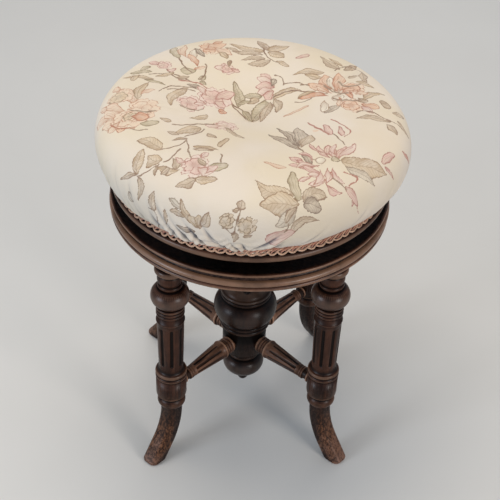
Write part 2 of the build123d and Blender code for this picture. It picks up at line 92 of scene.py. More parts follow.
class Wire:
    """A node's output. Sums on it add Math nodes."""

    def __init__(self, tree, socket):
        self.tree, self.socket = tree, socket

    def reckon(self, operation, *values):
        """A Math node of that operation on these values, in order."""
        node = self.tree.nodes.new("ShaderNodeMath")
        node.operation = operation
        for slot, value in zip(node.inputs, values):
            if isinstance(value, Wire):
                self.tree.links.new(value.socket, slot)
            else:
                slot.default_value = value
        return Wire(self.tree, node.outputs[0])

    def __add__(self, other):
        return self.reckon("ADD", self, other)

    def __radd__(self, other):
        return self.reckon("ADD", other, self)

    def __sub__(self, other):
        return self.reckon("SUBTRACT", self, other)

    def __rsub__(self, other):
        return self.reckon("SUBTRACT", other, self)

    def __mul__(self, other):
        return self.reckon("MULTIPLY", self, other)

    def __rmul__(self, other):
        return self.reckon("MULTIPLY", other, self)

    def sine(self):
        return self.reckon("SINE", self)

    def size(self):
        return self.reckon("ABSOLUTE", self)

    def most(self, other):
        return self.reckon("MAXIMUM", self, other)


class Finish:
    """A node material while it is made."""

    def __init__(self, name):
        self.material = bpy.data.materials.new(name)
        self.material.use_nodes = True
        self.tree = self.material.node_tree
        self.tree.nodes.clear()

    def add(self, kind, settings=None, sockets=None, out=0):
        """A node of a type, its settings first, then the values or links of its sockets."""
        node = self.tree.nodes.new("ShaderNode" + kind)
        for key, value in (settings or {}).items():
            setattr(node, key, value)
        for key, value in (sockets or {}).items():
            if isinstance(value, Wire):
                self.tree.links.new(value.socket, node.inputs[key])
            else:
                slot = node.inputs[key]
                if slot.type == "RGBA" and len(value) == 3:
                    value = (*value, 1.0)
                slot.default_value = value
        return Wire(self.tree, node.outputs[out]) if len(node.outputs) else None

    def place(self, turn=0.0, scale=(1, 1, 1), centre=(0, 0, 0)):
        """Object coordinates from a centre, turned about Z and scaled, for a grain that runs one way."""
        here = self.add("TexCoord", out="Object")
        here = self.add("VectorMath", {"operation": "SUBTRACT"}, {0: here, 1: centre})
        here = self.add("Mapping", {}, {"Vector": here, "Rotation": (0, 0, turn)})
        return self.add("VectorMath", {"operation": "MULTIPLY"}, {0: here, 1: scale})

    def coordinate(self, where, axis):
        """One coordinate of a place: X, Y or Z."""
        return self.add("SeparateXYZ", {}, {"Vector": where}, axis)

    def noise(self, where, scale, detail=4.0, rough=0.55, warp=0.0):
        """Cloudy noise, its lumps about 1 / scale metres wide, with finer lumps by detail and rough."""
        sockets = {"Vector": where, "Scale": scale, "Detail": detail, "Roughness": rough, "Distortion": warp}
        return self.add("TexNoise", {}, sockets, "Fac")

    def ease(self, value, low, high, start=0.0, end=1.0):
        """A smooth step from start to end as value goes from low to high."""
        sockets = {"Value": value, "From Min": low, "From Max": high, "To Min": start, "To Max": end}
        return self.add("MapRange", {"interpolation_type": "SMOOTHSTEP"}, sockets)

    def blend(self, share, first, second):
        """Two colours mixed by a share: 0 gives the first and 1 the second."""
        return self.add("Mix", {"data_type": "RGBA"}, {0: share, 6: first, 7: second}, 2)

    def reading(self, name, out="Fac"):
        """A value or colour kept on the mesh's points."""
        return self.add("Attribute", {"attribute_name": name}, {}, out)

    def bump(self, height, strength, depth):
        """A normal bent by a height that is depth metres deep."""
        return self.add("Bump", {}, {"Height": height, "Strength": strength, "Distance": depth})

    def done(self, **sockets):
        """The Principled shader with these sockets, named with _ for a space."""
        named = {key.replace("_", " "): value for key, value in sockets.items()}
        surface = self.add("BsdfPrincipled", {}, named)
        self.add("OutputMaterial", {}, {"Surface": surface})
        return self.material


def walnut(name, turn=0.0, along=2, centre=(0, 0, 0), tone=1.0, warm=0.0, wear_and_highlight=1.0, quirk_shade=0.93, faded=0.0):
    """Stained and shellacked walnut. Grain is noise drawn out along one direction; by the mesh's own relief and
    bulge, the colour darkens in quirks, flutes and hollows as painted shade, and turns lighter on crests and
    bulges, partly as wear and partly as a painted highlight. Where the mesh says so, a flat that is never
    wiped is dull with speckled dust."""
    f = Finish(name)
    stretch = [1.0, 1.0, 1.0]
    stretch[along] = 0.07
    lie, even = f.place(turn, tuple(stretch), centre), f.place()
    figure, streak = f.noise(lie, 95, 5, 0.6, 0.6), f.noise(lie, 520, 4, 0.7)
    cloud, fleck = f.noise(even, 26, 3, 0.55), f.noise(even, 240, 4, 0.65)
    relief, bulge, dust = f.reading("relief"), f.reading("bulge"), f.reading("dust")
    dark = times(tone, (0.010 + 0.006 * warm, 0.0036 + 0.001 * warm, 0.0022))
    mid = times(tone, (0.052 + 0.034 * warm, 0.020 + 0.012 * warm, 0.0105 + 0.006 * warm))
    light = times(tone, (0.24 + 0.05 * warm, 0.135 + 0.02 * warm, 0.086))
    mid = tuple((1 - faded) * m + faded * 0.5 * c for m, c in zip(mid, light))
    patchy = cloud + 0.3 * (fleck - 0.5)
    wood = f.blend(f.ease(figure + 0.35 * streak, 0.46, 0.90), dark, mid)
    wood = f.blend(f.ease(patchy, 0.50, 0.74, 0.0, 0.5), wood, times(1.6, mid))
    wood = f.blend(f.ease(patchy, 0.46, 0.30, 0.0, 0.6), wood, dark)
    # Crests of beads and broad bulges are blended towards the light tone: partly worn, partly a painted
    # highlight.
    crest = f.ease(relief + 0.16 * (fleck - 0.5), 0.13, 0.36)
    crest = crest * f.ease(cloud + 0.4 * streak, 0.45, 0.8, 0.5, 1.0)
    wood = f.blend(crest * (0.62 * wear_and_highlight), wood, light)
    wood = f.blend(f.ease(bulge, 0.25, 0.95) * f.ease(cloud, 0.3, 0.7, 0.14, 0.55 * wear_and_highlight), wood, light)
    # Hollows, such as the column's drum and the bed's cove, are blended towards dark: painted shade.
    hollow = f.ease(bulge + 0.25 * (cloud - 0.5), -0.62, -0.08, 1.0, 0.0)
    wood = f.blend(hollow * 0.8, wood, times(0.8, dark))
    # Quirks and flutes are darkened almost to black: painted shade.
    quirk = f.ease(relief, -0.42, -0.05, 1.0, 0.0)
    wood = f.blend(quirk * quirk_shade, wood, (0.003, 0.0012, 0.0008))
    speckle = f.blend(f.ease(fleck + 0.4 * streak, 0.55, 0.90), (0.011, 0.005, 0.0035), (0.062, 0.031, 0.021))
    gloss = f.ease(cloud, 0.3, 0.75, 0.24, 0.40) + 0.14 * (streak - 0.5) + 0.30 * quirk.most(dust)
    return f.done(
        Base_Color=f.blend(dust, wood, speckle),
        Roughness=gloss.most(0.16),
        Specular_IOR_Level=0.05,
        Coat_Weight=0.15 - 0.11 * hollow + f.ease(bulge, 0.2, 0.8, 0.0, 0.38),
        Coat_Roughness=0.36,
        Coat_IOR=1.75,
        Normal=f.bump(0.5 * streak + 0.35 * figure + 0.25 * fleck, 0.22, 0.0006),
    )


def worn_shaded_foot(name, centre):
    """The stain of a foot, kicked and mopped away: coarse orange-brown flecks show through it on the outer side
    and down at the toe, partly as wear and partly as a painted lit side, and a dark skin stays under the ankle
    and on the inner side, where it is also painted shade."""
    f = Finish(name)
    here = f.place(0.0, (1, 1, 0.55), centre)
    cloud, fleck, speck = f.noise(here, 38, 3), f.noise(here, 330, 5, 0.68, 0.4), f.noise(here, 900, 3)
    height, side = f.coordinate(f.place(), "Z"), f.reading("side")
    # Lighter on the outer side and low down, where the flecks show: partly wear, partly a painted lit side; the
    # dark inner side is painted shade.
    worn_and_lit = f.ease(side + 1.3 * (cloud - 0.5), -0.25, 0.55)
    worn_and_lit = worn_and_lit * f.ease(height + 0.03 * cloud, 0.100, 0.050, 0.05, 1.0)
    stain = f.blend(f.ease(fleck, 0.40, 0.64), (0.008, 0.003, 0.0018), (0.036, 0.014, 0.008))
    wood = f.blend(f.ease(fleck + 0.4 * speck, 0.48, 0.90), (0.034, 0.012, 0.006), (0.205, 0.086, 0.038))
    wood = f.blend(f.ease(cloud + 0.5 * fleck, 0.70, 0.98, 0.0, 0.55), wood, (0.22, 0.115, 0.080))
    colour = f.blend(worn_and_lit * f.ease(0.5 * speck + fleck + 0.7 * cloud, 0.90, 1.25, 0.15, 0.95), stain, wood)
    toe = f.ease(height + 0.022 * (cloud + fleck), 0.042, 0.026, 0.0, 0.55) * f.ease(side, 0.1, 0.8)
    toe = toe * f.ease(fleck, 0.40, 0.60, 0.25, 1.0)
    colour = f.blend(toe, colour, (0.31, 0.18, 0.135))
    return f.done(
        Base_Color=colour,
        Roughness=f.ease(fleck, 0.35, 0.65, 0.62, 0.38),
        Specular_IOR_Level=0.2,
        Normal=f.bump(fleck + 0.5 * speck, 0.35, 0.0006),
    )


def iron(name, tone, rough):
    """Dark iron: mottled scale with rust-brown bloom and a fine cast grain."""
    f = Finish(name)
    here = f.place()
    cloud, grit = f.noise(here, 60, 4), f.noise(here, 900, 3)
    colour = f.blend(f.ease(cloud, 0.45, 0.7), times(tone, (0.10, 0.098, 0.096)), (0.11, 0.055, 0.032))
    return f.done(
        Base_Color=colour,
        Metallic=f.ease(cloud, 0.45, 0.75, 0.85, 0.35),
        Roughness=f.ease(cloud, 0.35, 0.7, rough, rough + 0.3),
        Normal=f.bump(grit + 0.6 * cloud, 0.3, 0.0004),
    )


def bare_wood(name):
    """Unstained pine: long soft grain, browned with age."""
    f = Finish(name)
    lie = f.place(0.3, (0.06, 1, 1))
    ring, fibre = f.noise(lie, 55, 3, 0.5, 0.8), f.noise(lie, 420, 4, 0.7)
    colour = f.blend(f.ease(ring, 0.4, 0.65), (0.36, 0.22, 0.11), (0.56, 0.39, 0.22))
    colour = f.blend(f.ease(fibre, 0.45, 0.7, 0.0, 0.4), colour, (0.22, 0.12, 0.06))
    return f.done(Base_Color=colour, Roughness=0.5 + 0.4 * fibre, Normal=f.bump(fibre, 0.25, 0.0004))


ground, thread_gap = (236, 220, 199), 0.62 * MM


def printed_cotton(name):
    """The cover's cotton. Each point keeps the distance in mm to the rim and midrib of the motif it lies
    in, so the outlines are drawn here, fine and even, as are veins from their phase; the dye lies
    unevenly, as on old chintz, the ground has yellowed in patches, and the cloth is darkened towards
    blue-grey as painted shade where it lies deep in a fold. Warp and weft are two crossed sine waves of
    the cloth's own coordinates, with slubs."""
    f = Finish(name)
    cloth, even = f.add("UVMap", {"uv_map": "cloth"}), f.place()
    slub = f.noise(cloth, 900, 2)
    warp, weft = ((f.coordinate(cloth, axis) * (TURN / thread_gap) + 1.5 * slub).sine() for axis in "XY")
    weave = warp * weft
    mottle, wash, fuzz = f.noise(even, 14, 3), f.noise(cloth, 95, 4, 0.6), f.noise(even, 700, 3)
    rim, rib, phase, strength = (f.reading(kept) for kept in ("rim", "rib", "vein", "vein_strength"))
    base = f.blend(f.ease(mottle, 0.35, 0.7), linear(ground), linear((233, 215, 189)))
    base = f.blend(f.ease(f.noise(even, 7, 2), 0.48, 0.66, 0.0, 0.35), base, linear((236, 218, 184)))
    cover = f.ease(rim, -0.25, 0.35) * f.ease(wash, 0.30, 0.62, 0.40, 1.0) * f.ease(rim, 0.4, 3.6, 1.0, 0.76)
    colour = f.blend(cover, base, f.reading("dye", "Color"))
    outline = f.ease((rim - 0.1).size(), 0.22, 1.0, 1.0, 0.0)
    midrib = f.ease(rib.size(), 0.10, 0.6, 0.8, 0.0) * f.ease(rim, 0.2, 0.8)
    veins = f.ease(phase.sine(), 0.45, 1.0) * strength * f.ease(rim, 0.3, 1.2, 0.0, 0.8)
    worn = f.ease(f.noise(cloth, 120, 3), 0.30, 0.60, 0.62, 1.0)
    colour = f.blend(outline.most(midrib).most(veins) * worn * 0.9, colour, f.reading("ink", "Color"))
    colour = f.blend(f.ease(weave + fuzz, 0.2, 1.4, 0.06, 0.0), colour, (0.42, 0.35, 0.28))
    # The cloth deep in a fold is blended towards blue-grey: painted shade.
    colour = f.blend(f.ease(f.reading("fold"), 0.10, 1.0, 0.0, 0.72), colour, (0.17, 0.17, 0.21))
    return f.done(
        Base_Color=colour,
        Roughness=f.ease(fuzz, 0.3, 0.7, 0.78, 0.92),
        Sheen_Weight=0.12,
        Specular_IOR_Level=0.2,
        Normal=f.bump(0.5 * weave + fuzz, 0.14, 0.0004),
    )


def yarn(name, rough=0.85):
    """Spun thread in the tint kept on its points: its twist is a slanted sine wave of the cord's own
    coordinates, its length and the share of its girth, and the grooves of the twist are darkened as painted
    shade."""
    f = Finish(name)
    cord, even = f.add("UVMap", {"uv_map": "cloth"}), f.place()
    fuzz = f.noise(even, 1400, 3)
    twist = (f.coordinate(cord, "X") * (TURN / (1.3 * MM)) + f.coordinate(cord, "Y") * TURN).sine()
    tint = f.reading("print", "Color")
    # The grooves of the twist are blended towards dark brown: painted shade.
    colour = f.blend(f.ease(twist + fuzz, -0.5, 1.3, 0.45, 0.0), tint, (0.16, 0.075, 0.05))
    colour = f.blend(f.ease(f.noise(even, 260, 3), 0.48, 0.72, 0.0, 0.45), colour, (0.24, 0.105, 0.075))
    bumps = f.bump(twist + 0.6 * fuzz, 0.5, 0.0003)
    return f.done(Base_Color=colour, Roughness=rough, Sheen_Weight=0.2, Normal=bumps)


# ---- shapes ----


def mesh_of(name, points, faces):
    """A mesh from its points and faces."""
    mesh = bpy.data.meshes.new(name)
    mesh.from_pydata(points, [], faces)
    return mesh


def placed(name, data):
    """A new object of this data, in the scene."""
    obj = bpy.data.objects.new(name, data)
    bpy.context.scene.collection.objects.link(obj)
    return obj


def keep(mesh, **named):
    """Keeps values on a mesh's points under their names: a number each, or a colour each."""
    for name, values in named.items():
        if values.ndim == 1:
            mesh.attributes.new(name, "FLOAT", "POINT").data.foreach_set("value", values.astype(np.float32))
        else:
            layer = mesh.color_attributes.new(name, "FLOAT_COLOR", "POINT")
            layer.data.foreach_set("color", np.c_[values, np.ones(len(values))].astype(np.float32).ravel())


def piece(name, points, faces, material, body, slot, replaces, cloth=None):
    """A finished smooth piece from its points and faces, with its body and the nodes that it stands for; slot
    is not used. cloth gives each point's own two coordinates."""
    mesh = mesh_of(name, points.tolist(), faces.tolist() if isinstance(faces, np.ndarray) else faces)
    mesh.update()
    mesh.shade_smooth()
    if cloth is not None:
        loops = np.empty(len(mesh.loops), np.int32)
        mesh.loops.foreach_get("vertex_index", loops)
        mesh.uv_layers.new(name="cloth").data.foreach_set("uv", cloth[loops].astype(np.float32).ravel())
    return dress(mesh, name, material, body, slot, replaces)


def dress(mesh, name, material, body, slot, replaces):
    """Puts a mesh into the scene as a piece."""
    mesh.materials.clear()
    mesh.materials.append(material)
    obj = placed(name, mesh)
    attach(obj, body)
    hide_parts(*replaces)
    return obj


def lattice(rows, columns, first=0):
    """Quads between neighbouring rows and columns of a grid of points, the columns closed in a ring."""
    i, near = np.meshgrid(np.arange(rows - 1), np.arange(columns), indexing="ij")
    row, far = i * columns, (near + 1) % columns
    quads = np.stack([row + near, row + far, row + columns + far, row + columns + near], -1)
    return quads.reshape(-1, 4) + first


def tube(rows, columns):
    """Quads of a grid whose rows, too, are closed in a ring."""
    last = lattice(2, columns)
    last = last % columns + np.where(last < columns, (rows - 1) * columns, 0)
    return np.r_[lattice(rows, columns), last]


def cord_along(path, radius, sides, square=(1, 1, 0)):
    """Points, faces and cord coordinates of a closed round cord: at each point of the path a circle
    square to the path's direction. The circle starts on the side of the path's place times square."""
    ahead = unit(np.roll(path, -1, 0) - np.roll(path, 1, 0))
    side = unit(np.cross(ahead, path * square))
    out = np.cross(side, ahead)
    angle = bearings(sides)
    ring = np.cos(angle)[None, :, None] * out[:, None] - np.sin(angle)[None, :, None] * side[:, None]
    points = (path[:, None] + radius * ring).reshape(-1, 3)
    around = np.stack(np.broadcast_arrays(run_along(path)[:, None], (np.arange(sides) / sides)[None]), -1)
    return points, tube(len(path), sides)[:, ::-1], around.reshape(-1, 2)


def relief_along(points, start, axis, spread, full):
    """How far each point of a turned piece stands out of its smoothed outline, as a share of full mm: the
    largest radius of each half millimetre along the axis, blurred over spread mm, is taken from the
    point's radius. Faces far inside the outline, such as a dished top, count as neither crest nor quirk."""
    axis = np.array(axis, float) / np.linalg.norm(axis)
    away = points - np.array(start)
    height = away @ axis
    radius = np.linalg.norm(away - height[:, None] * axis, axis=1)
    step = 0.5
    steps = np.round((height - height.min()) / (step * MM)).astype(int)
    outline = np.zeros(steps.max() + 1)
    np.maximum.at(outline, steps, radius)
    known = np.flatnonzero(outline)
    outline = np.interp(np.arange(len(outline)), known, outline[known])
    reach = int(3 * spread / step)
    weights = line_at(np.arange(-reach, reach + 1) * step, spread)
    smooth = np.convolve(np.pad(outline, reach, "edge"), weights / weights.sum(), "valid")
    stands = radius - smooth[steps]
    return np.where(stands < -3 * full * MM, 0.0, np.clip(stands / (full * MM), -1, 1))


def side_along(points, outwards):
    """How far out each point of a foot lies across it, from -1 on its inner side to 1 on its outer side:
    the way out is measured from the middle of the foot's own width at that height, in steps of 2 mm."""
    out, height = points @ outwards, points[:, 2] / (2 * MM)
    step = np.round(height).astype(int)
    least, most = np.full(step.max() + 1, np.inf), np.full(step.max() + 1, -np.inf)
    np.minimum.at(least, step, out)
    np.maximum.at(most, step, out)
    known = np.flatnonzero(np.isfinite(least))
    least, most = (np.interp(height, known, bound[known]) for bound in (least, most))
    return np.clip((2 * out - least - most) / np.maximum(most - least, MM), -1, 1)


def polished(node, material, slot, body="base", start=(0, 0, 0), axis=(0, 0, 1), within=0.0):
    """A solid's own mesh, welded, with its relief, bulge, dust and side on the points for the finish to
    read. Points nearer to Z than within belong to a flat top or a bore: they have no relief, and are dusty."""
    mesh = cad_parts[node].data.copy()
    work = bmesh.new()
    work.from_mesh(mesh)
    bmesh.ops.remove_doubles(work, verts=work.verts, dist=2e-6)
    work.to_mesh(mesh)
    work.free()
    points = np.empty(len(mesh.vertices) * 3, np.float32)
    mesh.vertices.foreach_get("co", points)
    points = points.reshape(-1, 3)
    flat = np.hypot(points[:, 0], points[:, 1]) <= within
    bead, bulb = (2.5, 2.0), (13.0, 6.0)
    relief, bulge = (np.where(flat, 0.0, relief_along(points, start, axis, *scale)) for scale in (bead, bulb))
    keep(mesh, relief=relief, bulge=bulge, dust=1.0 * flat, side=side_along(points, np.array(axis, float)))
    mesh.shade_smooth()
    mesh.set_sharp_from_angle(angle=np.radians(32))
    return dress(mesh, node + "_polished", material, body, slot, (node,))


# ---- camera, floor and light ----

view_turn, view_height, view_roll = np.radians(-3.65), np.radians(39.83), np.radians(2.338)
level = np.cos(view_height)
forward = Vector((-np.sin(view_turn) * level, np.cos(view_turn) * level, -np.sin(view_height)))
right = Vector((np.cos(view_turn), np.sin(view_turn), 0))
up = right.cross(forward)
camera = placed("camera", bpy.data.cameras.new("camera"))
facing = Matrix((right, up, -forward)).transposed() @ Matrix.Rotation(view_roll, 3, "Z")
camera.matrix_world = Matrix.Translation((-0.0733, -1.1894, 1.2584)) @ facing.to_4x4()
camera.data.lens, camera.data.sensor_width = 86.6, 36.0
camera.data.shift_x = 0.001
camera.data.clip_start, camera.data.clip_end = 0.05, 30
bpy.context.scene.camera = camera
bpy.context.scene.view_settings.view_transform = "Standard"

floor_finish = Finish("pale_floor")
seen = [floor_finish.add("LightPath", out=f"Is {kind} Ray") for kind in ("Camera", "Glossy", "Transmission")]
floor_cloud = floor_finish.noise(floor_finish.place(), 3, 3)
pale_floor = floor_finish.blend(floor_cloud, (0.65, 0.62, 0.57), (0.71, 0.68, 0.63))
shown_floor = floor_finish.blend(seen[0].most(seen[1]).most(seen[2]), (0.22, 0.25, 0.30), pale_floor)
floor_finish.done(Base_Color=shown_floor, Roughness=0.9)
floor_half = 8.0
floor_points = [(x * floor_half, y * floor_half, 0) for x, y in ((-1, -1), (1, -1), (1, 1), (-1, 1))]
floor_mesh = mesh_of("floor", floor_points, [(0, 1, 2, 3)])
floor_mesh.materials.append(floor_finish.material)
placed("floor", floor_mesh)

world = bpy.data.worlds.new("studio")
bpy.context.scene.world = world
world.use_nodes = True
sky = world.node_tree.nodes["Background"].inputs
sky["Color"].default_value, sky["Strength"].default_value = (0.76, 0.86, 1.0, 1), 0.43


def softbox(name, place, size, power, colour):
    """A soft area lamp at a place, in metres, that faces the middle of the stool, with its power in watts."""
    lamp = bpy.data.lights.new(name, "AREA")
    lamp.shape, lamp.energy, lamp.color = "RECTANGLE", power, colour
    lamp.size, lamp.size_y = size
    towards = (Vector((0, 0, 0.3)) - Vector(place)).to_track_quat("-Z", "Y")
    placed(name, lamp).matrix_world = Matrix.Translation(place) @ towards.to_matrix().to_4x4()


softbox("ceiling", (-0.3, 0.4, 2.4), (1.5, 1.1), 22.5, (1.0, 0.93, 0.84))
softbox("window", (-1.75, -1.0, 0.75), (0.7, 0.6), 17.5, (0.80, 0.88, 1.0))
softbox("room", (1.5, -1.7, 0.9), (0.7, 0.6), 21.5, (1.0, 0.95, 0.92))
softbox("behind", (0.5, 2.0, 1.4), (1.6, 0.9), 6, (1.0, 1.0, 1.0))


# ---- turned wood ----

corners = {"front_left": 225, "front_right": 315, "back_right": 45, "back_left": 135}
leg_circle, stretcher_height, dished_top = 0.139, 0.117, 0.1686
for corner, azimuth in corners.items():
    outwards = turned(1.0, np.radians(azimuth), 0.0)
    foot = tuple(leg_circle * outwards)
    leg_wood = walnut(f"leg_walnut_{corner}", centre=foot, warm=0.5, tone=0.92, wear_and_highlight=0.8)
    polished(f"leg_{corner}", leg_wood, "walnut", start=foot)
    rail_wood = walnut(f"stretcher_walnut_{corner}", -np.radians(azimuth), 0,
                       tone=2.3, warm=0.3, quirk_shade=0.8, faded=0.45)
    polished(f"stretcher_{corner}", rail_wood, "walnut", start=(0, 0, stretcher_height), axis=outwards)
    foot_wood = worn_shaded_foot(f"worn_shaded_foot_{corner}", foot)
    polished(f"foot_{corner}", foot_wood, "worn_walnut", start=foot, axis=outwards)
column_wood = walnut("column_walnut", tone=0.5, warm=0.2, wear_and_highlight=0.5)
polished("centre_column", column_wood, "walnut")
polished("column_finial", column_wood, "walnut")
bed_wood = walnut("bed_walnut", turn=0.4, along=0, warm=0.9, tone=1.25, wear_and_highlight=0.8, quirk_shade=0.55)
polished("bed_frame", bed_wood, "walnut", within=dished_top)
rim_wood = walnut("rim_walnut", turn=1.1, along=0, warm=0.6, tone=0.9, wear_and_highlight=0.85)
polished("seat_rim", rim_wood, "walnut", body="seat")

dark_iron, bright_steel = iron("dark_iron", 0.8, 0.45), iron("dulled_steel", 3.0, 0.35)
finishes = {
    "nut_plate": dark_iron,
    "nut_plate_screws": bright_steel,
    "thrust_washer": bright_steel,
    "seat_flange": dark_iron,
    "flange_pin": bright_steel,
    "flange_screws": bright_steel,
    "seat_board": bare_wood("pine"),
    "cover_tacks": bright_steel,
}
for node, finish in finishes.items():
    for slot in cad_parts[node].material_slots:
        slot.material = finish

# ---- seat screw ----

screw_radius, pitch, screw_low, screw_high = 0.011, 0.006, 0.2151, 0.3871
thread_depth, thread_end, run_out, screw_gap = 0.0016, 0.3735, 0.002, 0.00002


def cut_thread(around=48, each_pitch=8):
    """The screw as a function of height and angle: its radius falls and rises once each pitch along the
    helix height/pitch - angle/turn, as a square thread with eased flanks, and is plain in the flange."""
    rows = each_pitch * int((screw_high - screw_low) / pitch) + 1
    height, angle = np.linspace(screw_low, screw_high, rows)[:, None], bearings(around)[None]
    groove = np.clip(0.5 - 1.6 * np.cos(TURN * height / pitch - angle), 0, 1)
    plain = np.clip((height - thread_end) / run_out, 0, 1)
    tip = np.clip((height - screw_low) / run_out, 0, 1)
    radius = screw_radius - thread_depth * groove * (1 - plain) - run_out * (1 - tip) * (1 - groove)
    points = turned(np.minimum(radius, screw_radius - screw_gap), angle, height).reshape(-1, 3)
    count, top = len(points), (rows - 1) * around
    faces = lattice(rows, around).tolist()
    faces += [((j + 1) % around, j, count) for j in range(around)]
    faces += [(top + j, top + (j + 1) % around, count + 1) for j in range(around)]
    return np.r_[points, [(0, 0, screw_low)], [(0, 0, screw_high)]], faces


piece("screw_thread", *cut_thread(), iron("oiled_thread", 1.6, 0.3), "seat", "iron_screw", ("seat_screw",))

# ---- the cover's print ----

# The dye and the ink of each tone.
tones = {
    "tan": ((216, 190, 155), (148, 113, 82)),
    "taupe": ((208, 184, 154), (144, 112, 87)),
    "olive": ((205, 188, 154), (134, 109, 78)),
    "greybrown": ((192, 172, 149), (122, 97, 79)),
    "brown": ((186, 156, 126), (136, 103, 78)),
    "palegrey": ((220, 205, 182), (154, 130, 107)),
    "greyline": ((184, 159, 132), (148, 118, 94)),
    "cream": ((246, 234, 212), (164, 126, 96)),
    "peach": ((235, 194, 160), (178, 110, 80)),
    "deeppeach": ((227, 170, 134), (166, 95, 67)),
    "palepeach": ((241, 213, 184), (186, 128, 96)),
    "olivepeach": ((228, 200, 164), (146, 114, 86)),
    "pink": ((234, 197, 180), (170, 106, 92)),
    "palepink": ((239, 214, 198), (182, 124, 106)),
    "pinkline": ((216, 162, 142), (180, 118, 100)),
    "tanbloom": ((216, 190, 156), (138, 108, 80)),
    "blot": ((235, 203, 172), (235, 203, 172)),
}

